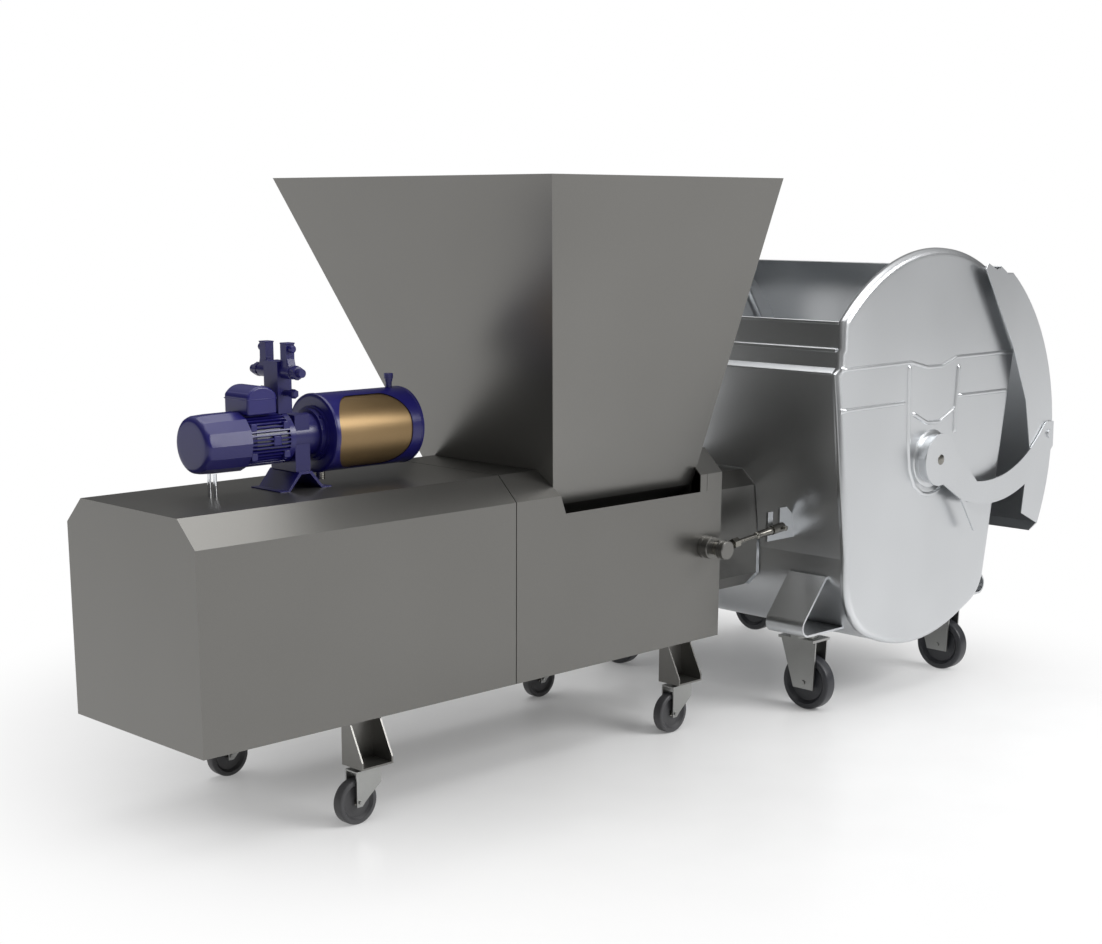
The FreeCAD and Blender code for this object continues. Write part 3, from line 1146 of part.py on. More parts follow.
for end, swivel in (("front", "hub_x - tray_front"), ("rear", "hub_x + tray_rear")):
    for side, _, sign in both("0", "1"):
        bin_caster(end, swivel, side, sign)

# ---- lid and its arms, turned back to the open rest ----


def polar(radius, angle):
    """A point round the trunnions."""
    return ("hub_x + (%s) * cos(%s)" % (radius, angle), "hub_z + (%s) * sin(%s)" % (radius, angle))


low = "-lid_low_angle"
skin_outline = [
    polar("lid_radius", low), polar("lid_radius", "lid_top_angle"),
    polar("lid_lip_radius", "lid_top_angle + 1.5"), polar("lid_lip_radius", "lid_lip_angle"),
    polar("lid_lip_radius - lid_sheet", "lid_lip_angle"),
    polar("lid_lip_radius - lid_sheet", "lid_top_angle + 1.2"),
    polar("lid_radius - lid_sheet", "lid_top_angle - 0.3"),
    polar("lid_radius - lid_sheet", low + " + 0.3"),
    polar("lid_radius - lid_low_lip", low + " - 3"),
    polar("lid_radius - lid_low_lip", low + " - 3.3"),
]
skin = prism("lid_skin", "y", ("-lid_half", "lid_half"), skin_outline, {
    0: ("lid_radius", 1), 2: ("lid_lip_radius", 1),
    4: ("lid_lip_radius - lid_sheet", -1), 6: ("lid_radius - lid_sheet", -1)})
cheek_outline = [
    polar("lid_radius - lid_sheet", low), polar("lid_radius - lid_sheet", "lid_top_angle"),
    polar("lid_lip_radius - lid_sheet / 2", "lid_top_angle + 2"),
    polar("lid_lip_radius - lid_sheet / 2", "lid_lip_angle - 0.4"),
    polar("ear_radius * lid_scale", "lid_lip_angle + 1"), polar("ear_radius * lid_scale", "ear_angle"),
    polar("cheek_top * lid_scale", "ear_angle + 0.5"),
    polar("cheek_mid * lid_scale", "40"), polar("cheek_mid * lid_scale", "17"),
    polar("cheek_low * lid_scale", "0"), polar("cheek_foot * lid_scale", low)]
cheeks = [prism("lid_cheek_" + side, "y", span, cheek_outline, {0: ("lid_radius - lid_sheet", 1)})
          for side, span, _ in both("lid_half - lid_sheet", "lid_half")]
node(fuse("container_lid", skin, *cheeks), "container_lid")


def from_hub(x, z):
    """A point given by its distances from the trunnions, stretched with the lid's radius."""
    return ("hub_x + (%s) * lid_scale" % x, "hub_z + (%s) * lid_scale" % z)


arms = []
arm_outline = [from_hub(40, 60), from_hub(0, -70), from_hub(123, -140), from_hub(704, -15),
               from_hub(699, 72), from_hub(655, 74), from_hub(640, 65), from_hub(225, -94),
               from_hub(154, -32)]
for side, span, _ in both("hub_face", "hub_face + arm_sheet"):
    blade = prism("arm_blade_" + side, "y", span, arm_outline,
                  {2: ("arm_lower_round * lid_scale", 1), 6: ("arm_upper_round * lid_scale", -1)})
    leg = prism("arm_leg_" + side, "y", span, [from_hub(70, -60), from_hub(222, -262), from_hub(236, -250),
                                               from_hub(110, -90)])
    disc = rod("arm_disc_" + side, "y", span, ("hub_x", "hub_z"), "arm_disc")
    bore = rod("arm_bore_" + side, "y", span, ("hub_x", "hub_z"), "hub_pin + slide_gap")
    rivet_span = both("lid_half", "hub_face + 2 * arm_sheet")[0 if side == "near" else 1][1]
    rivet = rod("arm_rivet_" + side, "y", rivet_span, from_hub(672, 30), "rivet_radius")
    arms.append(cut("arm_" + side, fuse("arm_blank_" + side, blade, leg, disc, rivet), bore))
node(group("lid_arms", *arms), "lid_arms")

# ---- check and write every sub-part ----

doc.recompute()
faults = [thing.Label for thing in doc.Objects if {"Invalid", "Error"} & set(thing.State)]
for thing in NODES:
    shape = thing.Shape
    if shape.isNull() or not shape.isValid() or not shape.Solids:
        faults.append(thing.Label + " has no valid solid")
if faults:
    raise RuntimeError("failed: " + ", ".join(faults))
os.makedirs("parts", exist_ok=True)
for thing in NODES:
    thing.Shape.exportStep("parts/%s.step" % thing.Label)
    print("%-34s %2d solid(s) %12.0f mm3" % (thing.Label, len(thing.Shape.Solids), thing.Shape.Volume))
print(len(NODES), "nodes")
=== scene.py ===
# %% [markdown]
# A hydraulic waste press on castors, docked to a galvanised waste container.
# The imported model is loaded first. It fixes every size and every place, so each
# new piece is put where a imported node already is, and rides on that node's body.

# %% Load the fixed frame
import json
import math
import bpy
import numpy as np
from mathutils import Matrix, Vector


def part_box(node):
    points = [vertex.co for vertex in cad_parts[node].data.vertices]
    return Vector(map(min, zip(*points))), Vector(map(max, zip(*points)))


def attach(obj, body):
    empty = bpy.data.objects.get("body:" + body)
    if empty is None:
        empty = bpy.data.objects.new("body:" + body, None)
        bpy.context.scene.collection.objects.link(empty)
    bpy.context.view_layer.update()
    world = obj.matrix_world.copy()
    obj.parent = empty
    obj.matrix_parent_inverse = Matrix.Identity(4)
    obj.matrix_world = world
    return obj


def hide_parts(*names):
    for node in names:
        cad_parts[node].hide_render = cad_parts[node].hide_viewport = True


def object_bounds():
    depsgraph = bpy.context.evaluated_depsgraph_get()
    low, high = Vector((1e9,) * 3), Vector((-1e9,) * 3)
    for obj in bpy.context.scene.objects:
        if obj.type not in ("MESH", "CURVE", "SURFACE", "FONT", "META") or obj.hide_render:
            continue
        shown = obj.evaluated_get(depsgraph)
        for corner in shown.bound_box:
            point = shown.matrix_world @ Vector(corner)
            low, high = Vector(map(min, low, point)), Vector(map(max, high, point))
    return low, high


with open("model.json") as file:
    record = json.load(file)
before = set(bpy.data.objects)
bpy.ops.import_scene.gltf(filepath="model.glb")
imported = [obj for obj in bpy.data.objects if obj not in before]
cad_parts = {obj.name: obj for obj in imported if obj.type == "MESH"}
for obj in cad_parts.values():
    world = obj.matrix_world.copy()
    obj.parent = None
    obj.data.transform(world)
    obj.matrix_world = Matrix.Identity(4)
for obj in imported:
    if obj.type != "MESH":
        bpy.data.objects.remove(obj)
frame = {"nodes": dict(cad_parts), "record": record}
cad_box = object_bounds()
MM = 0.001
ROOT = "press_and_container"
SIDES = ((-1, "near"), (1, "far"))

# %% [markdown]
# Colours are written the way a paint shop gives them, as sRGB hex. The renderer
# works in linear light, so one function converts them.


# %% Colours
def linear(code):
    """sRGB hex to linear light: ((c + 0.055) / 1.055) to the power 2.4."""
    c = np.array([int(code[i:i + 2], 16) for i in (0, 2, 4)]) / 255
    low, high = c / 12.92, ((c + 0.055) / 1.055) ** 2.4
    return tuple(float(v) for v in np.where(c <= 0.04045, low, high)) + (1.0,)


# %% [markdown]
# Sheet metal is never one flat tone. Rolling and brushing leave fine streaks, the
# clear coat varies a little in gloss, and zinc freezes in soft speckles. One
# function builds such a finish from noise on Object coordinates, which are in
# metres here, so a pattern's scale can be read as a real size on the object.


# %% Metal and paint finishes
# The Mix node has a set of sockets for each data type; these are its colour ones.
MIX_SHARE, MIX_A, MIX_B, MIX_RESULT = 0, 6, 7, 2
COAT_ROUGHNESS = 0.12


def add_node(tree, kind, inputs=(), **settings):
    """Add a node, set its properties, then fill or link its sockets."""
    node = tree.nodes.new(kind)
    for key, value in settings.items():
        setattr(node, key, value)
    for socket, value in dict(inputs).items():
        if isinstance(value, bpy.types.NodeSocket):
            tree.links.new(value, node.inputs[socket])
        else:
            node.inputs[socket].default_value = value
    return node


def finish_of(name, dark, light, metal, rough, grain_mm, stretch=(1, 1, 1), bump_mm=0.02,
              rough_swing=0.08, coat=0.0, cloud_mm=300):
    """A procedural finish: grain between two tones, slow clouds, uneven gloss, fine relief.

    grain_mm is the size of the grain, and stretch draws it out into brush lines.
    """
    material = bpy.data.materials.new(name)
    material.use_nodes = True
    tree = material.node_tree
    shader = tree.nodes["Principled BSDF"]
    place = add_node(tree, "ShaderNodeTexCoord").outputs["Object"]
    drawn = add_node(tree, "ShaderNodeMapping", {"Vector": place, "Scale": stretch}).outputs[0]
    grain = add_node(tree, "ShaderNodeTexNoise", {
        "Vector": drawn, "Scale": 1 / (grain_mm * MM), "Detail": 4.0, "Roughness": 0.6}).outputs["Fac"]
    cloud = add_node(tree, "ShaderNodeTexNoise", {
        "Vector": place, "Scale": 1 / (cloud_mm * MM), "Detail": 2.0}).outputs["Fac"]
    mixed = add_node(tree, "ShaderNodeMath", {0: grain, 1: cloud}, operation="ADD").outputs[0]
    tone = add_node(tree, "ShaderNodeMapRange", {
        "Value": mixed, "From Min": 0.7, "From Max": 1.3}).outputs[0]
    colour = add_node(tree, "ShaderNodeMix", {
        MIX_SHARE: tone, MIX_A: linear(dark), MIX_B: linear(light)}, data_type="RGBA")
    tree.links.new(colour.outputs[MIX_RESULT], shader.inputs["Base Color"])
    gloss = add_node(tree, "ShaderNodeMapRange", {
        "Value": mixed, "From Min": 0.7, "From Max": 1.3,
        "To Min": rough - rough_swing, "To Max": rough + rough_swing}).outputs[0]
    tree.links.new(gloss, shader.inputs["Roughness"])
    relief = add_node(tree, "ShaderNodeBump", {
        "Height": grain, "Distance": bump_mm * MM, "Strength": 0.6}).outputs[0]
    tree.links.new(relief, shader.inputs["Normal"])
    shader.inputs["Metallic"].default_value = metal
    shader.inputs["Coat Weight"].default_value = coat
    shader.inputs["Coat Roughness"].default_value = COAT_ROUGHNESS
    return material


FINISH = {
    "press_steel": finish_of("brushed_steel_clear_coated", "747370", "7c7b78", 0.9, 0.32, 1.2,
                             (0.5, 1, 1), 0.008, 0.03, 0.0, 700),
    "primer_steel": finish_of("grey_primer", "5b5c5e", "6a6b6d", 0.0, 0.6, 2.0),
    "ram_steel": finish_of("ground_steel", "8c8c8c", "a8a8a6", 1.0, 0.3, 1.2, (1, 1, 0.1)),
    "wear_plastic": finish_of("milled_polyethylene", "d2d2ca", "dedcd4", 0.0, 0.5, 3.0),
    "black_enamel": finish_of("black_enamel", "18191b", "232427", 0.0, 0.3, 2.0, coat=0.4),
    "hard_chrome": finish_of("hard_chrome", "d0d2d6", "e6e8ea", 1.0, 0.07, 1.5, bump_mm=0.002,
                             rough_swing=0.02),
    "blue_paint": finish_of("deep_blue_machine_paint", "17145a", "1d1966", 0.0, 0.30, 1.8,
                            bump_mm=0.02, rough_swing=0.03, coat=0.05),
    "stator_steel": finish_of("laminated_steel", "55565a", "6a6b70", 0.9, 0.45, 0.7, (4, 1, 1)),
    "cast_aluminium": finish_of("cast_aluminium", "a3a4a6", "b7b8ba", 0.9, 0.42, 2.2, bump_mm=0.05),
    "blue_casting": finish_of("blue_painted_casting", "151254", "1a165e", 0.0, 0.34, 2.2,
                              bump_mm=0.05, coat=0.05),
    "bronze": finish_of("brushed_bronze", "7d6747", "9c835f", 0.8, 0.42, 0.9, (9, 0.25, 0.25),
                        bump_mm=0.012, rough_swing=0.05),
    "blue_plastic": finish_of("moulded_blue_plastic", "141150", "19155a", 0.0, 0.36, 1.5, coat=0.05),
    "bright_steel": finish_of("bright_zinc_plate", "77756f", "96948e", 1.0, 0.24, 1.5, rough_swing=0.05),
    "galvanised": finish_of("hot_dip_galvanised_sheet", "c6c8ca", "d6d8da", 1.0, 0.33, 1.3,
                            bump_mm=0.015, rough_swing=0.03, cloud_mm=500),
    "zinc_steel": finish_of("zinc_plated_pressing", "8f8f8d", "adaeac", 1.0, 0.32, 1.6),
    "black_rubber": finish_of("solid_black_rubber", "3b3b3d", "4a4a4c", 0.0, 0.42, 1.4, bump_mm=0.05),
    "grey_rubber": finish_of("solid_grey_rubber", "26272a", "34353a", 0.0, 0.38, 1.4, bump_mm=0.05),
}
node_slot = {entry["node"]: entry["material_slot"] for entry in frame["record"]["subparts"]}
for node_name, part_object in frame["nodes"].items():
    part_object.data.materials.clear()
    part_object.data.materials.append(FINISH[node_slot[node_name]])
print("finishes", len(FINISH), "applied to", len(node_slot), "nodes")

# %% [markdown]
# Most shapes on a machine are turned on a lathe or cut from plate. A turned shape
# is a profile of radius against length, swept round an axis: a grid with the
# angle as one parameter and the place along the profile as the other.


# %% Making meshes from grids
AXES = {"x": ((0, 1, 0), (0, 0, 1), (1, 0, 0)), "y": ((0, 0, 1), (1, 0, 0), (0, 1, 0)),
        "z": ((1, 0, 0), (0, 1, 0), (0, 0, 1))}


def mesh_piece(name, points, faces, slot, body=ROOT, sharp_deg=32):
    """Turn arrays of points and faces into an object that rides on a body."""
    mesh = bpy.data.meshes.new(name)
    mesh.from_pydata(np.asarray(points, float).tolist(), [], [list(map(int, f)) for f in faces])
    mesh.update()
    mesh.shade_smooth()
    mesh.set_sharp_from_angle(angle=math.radians(sharp_deg))
    piece = bpy.data.objects.new(name, mesh)
    bpy.context.scene.collection.objects.link(piece)
    mesh.materials.append(FINISH[slot])
    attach(piece, body)
    return piece


def grid_faces(rows, columns, wrap):
    """Quads of a grid; wrap joins the last column to the first."""
    last = columns if wrap else columns - 1
    i, j = np.meshgrid(np.arange(rows - 1), np.arange(last), indexing="ij")
    k = (j + 1) % columns
    return np.stack([i * columns + j, i * columns + k, (i + 1) * columns + k,
                     (i + 1) * columns + j], axis=-1).reshape(-1, 4)


def frame_along(direction):
    """Three unit vectors u, v, w with w along a direction and u level."""
    w = np.array(direction, float) / np.linalg.norm(direction)
    u = np.cross((0, 0, 1), w)
    u = u / np.linalg.norm(u)
    return u, np.cross(w, u), w


def facing(side, profile):
    """A profile pointing along its axis (side 1) or mirrored to point back along it (side -1)."""
    return [(side * s, r) for s, r in profile][::side]


def turned(name, axis, centre, profile, slot, body=ROOT, sides=64, lobes=None, sharp_deg=32):
    """A turned piece: point = centre + r (cos a u + sin a v) + s w, for each (s, r) in the profile.

    axis is a letter or a direction. lobes, if given, is a function of the angle and the
    profile row that scales the radius.
    """
    u, v, w = AXES[axis] if isinstance(axis, str) else frame_along(axis)
    u, v, w = (np.array(d, float) for d in (u, v, w))
    s, r = np.array(profile, float).T
    a = np.linspace(0, 2 * np.pi, sides, endpoint=False)
    radius = np.repeat(r[:, None], sides, axis=1)
    if lobes is not None:
        radius = radius * lobes(a[None, :], np.arange(len(s))[:, None])
    points = (np.array(centre) + radius[..., None] * (np.cos(a)[None, :, None] * u
              + np.sin(a)[None, :, None] * v) + s[:, None, None] * w)
    points = points.reshape(-1, 3)
    faces = [tuple(f) for f in grid_faces(len(s), sides, True)]
    faces += [tuple(range(sides))[::-1], tuple((len(s) - 1) * sides + np.arange(sides))]
    return mesh_piece(name, points, faces, slot, body, sharp_deg)


def plate(name, axis, span, outline, slot, body=ROOT, bevel_mm=1.2):
    """A flat plate: an outline pushed along an axis over a span, with its edges broken."""
    u, v, w = (np.array(d, float) for d in AXES[axis])
    flat = np.array(outline, float)
    area = np.sum(flat[:, 0] * np.roll(flat[:, 1], -1) - flat[:, 1] * np.roll(flat[:, 0], -1))
    flat = flat if area > 0 else flat[::-1]
    low = flat[:, :1] * u + flat[:, 1:] * v + span[0] * w
    high = flat[:, :1] * u + flat[:, 1:] * v + span[1] * w
    n = len(flat)
    faces = [tuple(range(n))[::-1], tuple(range(n, 2 * n))]
    faces += [(i, (i + 1) % n, n + (i + 1) % n, n + i) for i in range(n)]
    piece = mesh_piece(name, np.vstack([low, high]), faces, slot, body)
    edge = piece.modifiers.new("broken_edges", "BEVEL")
    edge.width = bevel_mm * MM
    edge.segments = 2
    edge.limit_method = "ANGLE"
    return piece


def place_of(node_name):
    """Middle and half size of a node's box."""
    low, high = (np.array(c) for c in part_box(node_name))
    return (low + high) / 2, (high - low) / 2


# %% [markdown]
# A castor wheel is a solid tread on a pressed disc. The tread's edges are rounded,
# the disc is dished, and an axle nut closes it. Each is one turned profile, so the
# eight wheels share a function that takes its radius and width from the node.

# %% Wheels and axle nuts
WHEEL_NODES = sorted(n for n in frame["nodes"] if "_wheel_" in n)
for wheel_name in WHEEL_NODES:
    middle, half = place_of(wheel_name)
    axis = "y" if wheel_name.startswith("press") else "x"
    radius = half[2]
    width = half[1 if axis == "y" else 0]
    shoulder, round_over = radius * 0.80, radius * 0.10
    turn = np.linspace(0, np.pi / 2, 6)
    edge = [(width - round_over * 0.8 * (1 - math.cos(t)), radius - round_over * (1 - math.sin(t)))
            for t in turn]
    half_profile = [(width * 0.62, radius * 0.24), (width * 0.62, radius * 0.34),
                    (width * 0.50, radius * 0.42), (width * 0.46, shoulder * 0.86),
                    (width * 0.84, shoulder * 0.97), (width * 0.98, shoulder)] + edge
    profile = [(-s, r) for s, r in half_profile] + half_profile[::-1]
    body = wheel_name + "_roll"
    slot = "black_rubber" if axis == "y" else "grey_rubber"
    tread = turned(wheel_name + "_tread", axis, middle, profile, slot, body, 72)
    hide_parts(wheel_name)
    for side in (-1, 1):
        reach = width * 0.66
        nut = [(reach * 0.85, radius * 0.2), (reach * 1.05, radius * 0.2), (reach * 1.18, radius * 0.12)]
        turned("%s_nut_%s" % (wheel_name, "a" if side < 0 else "b"), axis, middle,
               facing(side, nut), "bright_steel", body, 6)
print("wheels", len(WHEEL_NODES))

# %% [markdown]
# The fan cowl is a deep-drawn cap. Its closed face is flat, its shoulder is
# rounded, and shallow flats run round its skirt where the sheet was creased. The
# flats come from scaling the radius with the angle.

# %% Fan cowl
COWL_FLATS = 14
cowl_middle, cowl_half = place_of("fan_cowl")
CR, CL = cowl_half[2], cowl_half[0]
bend = np.linspace(0, np.pi / 2, 8)
cowl_profile = [(-CL, CR * 0.60)] + [
    (-CL + CR * 0.20 * (1 - math.cos(t)), CR * 0.76 + CR * 0.20 * math.sin(t)) for t in bend]
cowl_profile += [(-CL * 0.25, CR * 0.985), (CL * 0.55, CR * 0.99), (CL, CR * 0.995), (CL, CR * 0.94)]


def creased(angle, row):
    """Radius factor of a skirt with flats, fading out on the closed face."""
    half_flat = np.pi / COWL_FLATS
    flat = np.cos(half_flat) / np.cos((angle % (2 * half_flat)) - half_flat)
    return 1 - (1 - flat) * np.clip((row - 5) / 3, 0, 1)


cowl = turned("fan_cowl_drawn", "x", cowl_middle, cowl_profile, "blue_paint", ROOT, 168, creased, 20)
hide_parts("fan_cowl")
print("cowl radius mm", round(CR * 1000, 1))

# %% [markdown]
# A motor frame sheds heat through thin fins that run along it. The section is a
# circle whose radius jumps between fin root and fin tip, except where flat pads
# carry the feet and the terminal box.

# %% Motor frame with fins
frame_middle, frame_half = place_of("motor_frame")
FR, FL = frame_half[2], frame_half[0]
FINS = 40


def finned(angle, row):
    """Radius factor: 1 at a fin's tip, 0.86 between fins."""
    phase = (angle * FINS / (2 * np.pi)) % 1
    tip = np.clip((0.30 - np.abs(phase - 0.5)) * 9, 0, 1)
    return 0.86 + 0.14 * tip


fin_ends = [(-FL, FR * 0.93), (-FL * 0.97, FR), (FL * 0.72, FR), (FL * 0.74, FR)]
motor = turned("motor_frame_fins", "x", frame_middle, fin_ends, "blue_paint", ROOT, 960, finned, 30)
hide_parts("motor_frame")
turned("motor_end_ring", "x", frame_middle + np.array([FL * 0.72, 0, 0]),
       [(0, FR * 0.9), (0.001, FR * 0.99), (FL * 0.24, FR * 0.99), (FL * 0.28, FR * 0.9)],
       "blue_paint", ROOT, 96)
LUG, LUG_THICK = 0.010, 0.009
for index, angle in enumerate(np.radians([35, 145, 215, 325])):
    offset = np.array([0, math.cos(angle), math.sin(angle)]) * FR * 0.94
    for where, along in (("rear", -FL * 0.80), ("front", FL * 0.62)):
        x, y, z = frame_middle + offset + np.array([along, 0, 0])
        plate("motor_lug_%s_%d" % (where, index), "y", (y - LUG_THICK, y + LUG_THICK),
              [(z - LUG, x - LUG), (z + LUG, x - LUG), (z + LUG, x + LUG), (z - LUG, x + LUG)],
              "blue_paint", ROOT, 2)
print("motor radius mm", round(FR * 1000, 1))

# %% [markdown]
# The terminal box is a low casting: straight walls, then a lid whose top is an arch
# along the motor. A seam runs round it where lid and box meet. The arch is
# z = top - rise (x / half)^2.4, which is flatter in the middle than a circle.

# %% Terminal box
SEAM, PROUD = 0.003, 1.01
box_middle, box_half = place_of("terminal_box")
lid_x = np.linspace(-1, 1, 25)
lid_z = 1 - 0.62 * np.abs(lid_x) ** 2.4
arch = [(box_middle[2] + z * box_half[2], box_middle[0] + x * box_half[0])
        for x, z in zip(lid_x, lid_z)]
foot = box_middle[2] - box_half[2]
box_outline = [(foot, box_middle[0] - box_half[0])] + arch + [(foot, box_middle[0] + box_half[0])]
terminal = plate("terminal_box_cast", "y", (-box_half[1], box_half[1]), box_outline,
                 "blue_paint", ROOT, 7)
terminal.modifiers["broken_edges"].segments = 4
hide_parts("terminal_box")
seam_z = box_middle[2] + 0.05 * box_half[2]
seam_x, seam_y = box_half[0] * PROUD, box_half[1] * PROUD
plate("terminal_box_seam", "z", (seam_z, seam_z + SEAM),
      [(box_middle[0] - seam_x, -seam_y), (box_middle[0] + seam_x, -seam_y),
       (box_middle[0] + seam_x, seam_y), (box_middle[0] - seam_x, seam_y)],
      "blue_paint", ROOT, 0.8)
print("terminal box mm", np.round(box_half * 2000, 1))

# %% [markdown]
# Solenoid valves are stacks of turned steps: coil, collar, hexagon nut and cap.

# %% Valves
COIL_RADIUS, LOWER_RADIUS = 0.018, 0.011
manifold_side = place_of("valve_manifold")[1][1]
coil_middle, coil_half = place_of("solenoid_valves")
coil_end = coil_half[1]
coil_top = coil_middle[2] + coil_half[2] - COIL_RADIUS
coil_at = (coil_middle[0], 0, coil_top)
lower_at = (coil_middle[0], 0, coil_middle[2] - coil_half[2] + LOWER_RADIUS)
COIL = [(manifold_side, COIL_RADIUS), (coil_end * 0.62, COIL_RADIUS), (coil_end * 0.63, 0.0155),
        (coil_end * 0.70, 0.0155), (coil_end * 0.71, 0.017), (coil_end * 0.84, 0.0165),
        (coil_end * 0.85, 0.012), (coil_end, 0.011)]
COIL_HEXAGON = [(coil_end * 0.69, 0.0165), (coil_end * 0.70, 0.0188), (coil_end * 0.83, 0.0188),
                (coil_end * 0.84, 0.0165)]
LOWER_KNOB = [(manifold_side, 0.0085), (0.057, 0.0085), (0.058, 0.0108), (0.060, 0.0125),
              (0.074, 0.0125), (0.078, 0.009)]
for side, word in SIDES:
    turned("solenoid_coil_" + word, "y", coil_at, facing(side, COIL), "blue_plastic", ROOT, 48)
    turned("solenoid_hexagon_" + word, "y", coil_at, facing(side, COIL_HEXAGON), "blue_plastic", ROOT, 6)
    turned("lower_valve_" + word, "y", lower_at, facing(side, LOWER_KNOB), "blue_plastic", ROOT, 6)
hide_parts("solenoid_valves")
print("solenoids reach mm", round(coil_end * 1000, 1))

# %% [markdown]
# Each upper valve block carries a knob near its top, with a collar behind it, and
# a foot that slopes out over the coil.

# %% Upper valve blocks
head_middle, head_half = place_of("relief_valves")
head_x, head_top = head_middle[0], head_middle[2] + head_half[2]
HEAD, BLOCK_OUT = 0.026, 0.058
FOOT_HALF, CAP_HALF, CAP_HIGH, CAP_SUNK = 0.0125, 0.0145, 0.003, 0.001
FOOT_IN, FOOT_OUT, FOOT_NECK = 0.031, 0.066, 0.0585
CAP_IN, CAP_OUT = 0.0315, 0.0595
KNOB = [(BLOCK_OUT, 0.0070), (BLOCK_OUT + 0.004, 0.0070), (BLOCK_OUT + 0.005, 0.0098),
        (BLOCK_OUT + 0.0125, 0.0098), (BLOCK_OUT + 0.015, 0.0075)]
foot_z = coil_top + 0.010
for side, word in SIDES:
    turned("valve_knob_" + word, "y", (head_x, 0, head_top - HEAD / 2), facing(side, KNOB),
           "blue_casting", ROOT, 12)
    plate("valve_foot_" + word, "x", (head_x - FOOT_HALF, head_x + FOOT_HALF),
          [(FOOT_IN * side, foot_z), (FOOT_OUT * side, foot_z),
           (FOOT_NECK * side, foot_z + HEAD), (FOOT_IN * side, foot_z + HEAD)],
          "blue_casting", ROOT, 1.5)
    plate("valve_cap_" + word, "z", (head_top - CAP_SUNK, head_top + CAP_HIGH),
          [(head_x - CAP_HALF, CAP_IN * side), (head_x + CAP_HALF, CAP_IN * side),
           (head_x + CAP_HALF, CAP_OUT * side), (head_x - CAP_HALF, CAP_OUT * side)],
          "blue_casting", ROOT, 1.0)
print("upper valve blocks at x mm", round(head_x * 1000, 1))

# %% [markdown]
# The oil tank is a rolled jacket between two turned ends. Each end stands a little
# proud of the jacket and its edge is rounded.

# %% Tank ends, coupling ring and motor pad
tank_middle, tank_half = place_of("tank_shell")
TR = tank_half[1]
tank_z = frame_middle[2]
neck_x, tank_end = tank_middle[0] - tank_half[0], tank_middle[0] + tank_half[0]
LIP = [(-0.0012, TR - 0.010), (-0.0012, TR - 0.004), (0.0002, TR - 0.0005), (0.003, TR + 0.0012),
       (0.009, TR + 0.0012), (0.0105, TR - 0.0005)]
for word, start, way in (("front", neck_x, 1), ("rear", tank_end, -1)):
    turned("tank_lip_" + word, "x", (start, 0, tank_z), facing(way, LIP), "blue_paint", ROOT, 120)
turned("tank_coupling_ring", "x", (neck_x, 0, tank_z),
       [(-0.020, 0.058), (-0.019, 0.066), (-0.008, 0.067), (-0.007, 0.074), (0.0, 0.074)],
       "blue_casting", ROOT, 96)
BOLT_CIRCLE = 0.0665
for index, angle in enumerate(np.radians([45, 135, 225, 315])):
    turned("coupling_bolt_%d" % index, "x",
           (neck_x, BOLT_CIRCLE * math.cos(angle), tank_z + BOLT_CIRCLE * math.sin(angle)),
           [(-0.0135, 0.0045), (-0.013, 0.0055), (-0.0075, 0.0055)], "blue_casting", ROOT, 6)
PAD_HIGH, PAD_LONG = 0.013, 0.012
pad_x = frame_middle[0] + 0.01
plate("motor_pad", "y", (-FR * 1.012, -FR * 0.9),
      [(tank_z - PAD_HIGH, pad_x - PAD_LONG), (tank_z + PAD_HIGH, pad_x - PAD_LONG),
       (tank_z + PAD_HIGH, pad_x + PAD_LONG), (tank_z - PAD_HIGH, pad_x + PAD_LONG)],
      "blue_paint", ROOT, 2)
print("tank radius mm", round(TR * 1000, 1))

# %% [markdown]
# The filler cap is a knurled plastic cap, so its radius ripples with the angle.

# %% Filler cap
cap_middle, cap_half = place_of("filler_cap")
top = cap_half[2]
cap = turned("filler_cap_knurled", "z", cap_middle,
             [(-top, 0.0055), (top - 0.0225, 0.0055), (top - 0.0224, 0.0105), (top - 0.0150, 0.0108),
              (top - 0.0145, 0.0126), (top - 0.002, 0.0130), (top, 0.0115)],
             "blue_paint", "cap", 96, lambda a, row: 1 - 0.03 * (np.cos(24 * a) > 0) * (row > 3))
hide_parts("filler_cap")
print("cap height mm", round(top * 2000, 1))

# %% [markdown]
# An end panel is pressed from one sheet. The edge is rolled over, and raised beads
# stiffen the flat. The roll follows the distance d from the outline: the surface
# falls back by r - sqrt(r^2 - (r - d)^2) while d is less than r.

# %% Container end panels
ROLL, EDGE_DEPTH, SHEET = 0.018, 0.024, 0.003
PY = place_of("container_end_panels")[1][1]
(cx, _, cz), hub_half = place_of("container_hubs")


def rounded(corners, radii, steps=10):
    """An outline whose corners are replaced by arcs tangent to both sides."""
    out = []
    n = len(corners)
    for i, (corner, radius) in enumerate(zip(corners, radii)):
        p, a, b = (np.array(c, float) for c in (corner, corners[i - 1], corners[(i + 1) % n]))
        if radius == 0:
            out.append(p)
            continue
        da, db = (a - p) / np.linalg.norm(a - p), (b - p) / np.linalg.norm(b - p)
        half = math.acos(np.clip(da @ db, -1, 1)) / 2
        middle = p + (da + db) / np.linalg.norm(da + db) * radius / math.sin(half)
        start, end = p + da * radius / math.tan(half), p + db * radius / math.tan(half)
        t0 = math.atan2(*(start - middle)[::-1])
        t1 = math.atan2(*(end - middle)[::-1])
        sweep = (t1 - t0 + math.pi) % (2 * math.pi) - math.pi
        out += [middle + radius * np.array([math.cos(t), math.sin(t)])
                for t in t0 + sweep * np.linspace(0, 1, steps)]
    return np.array(out)


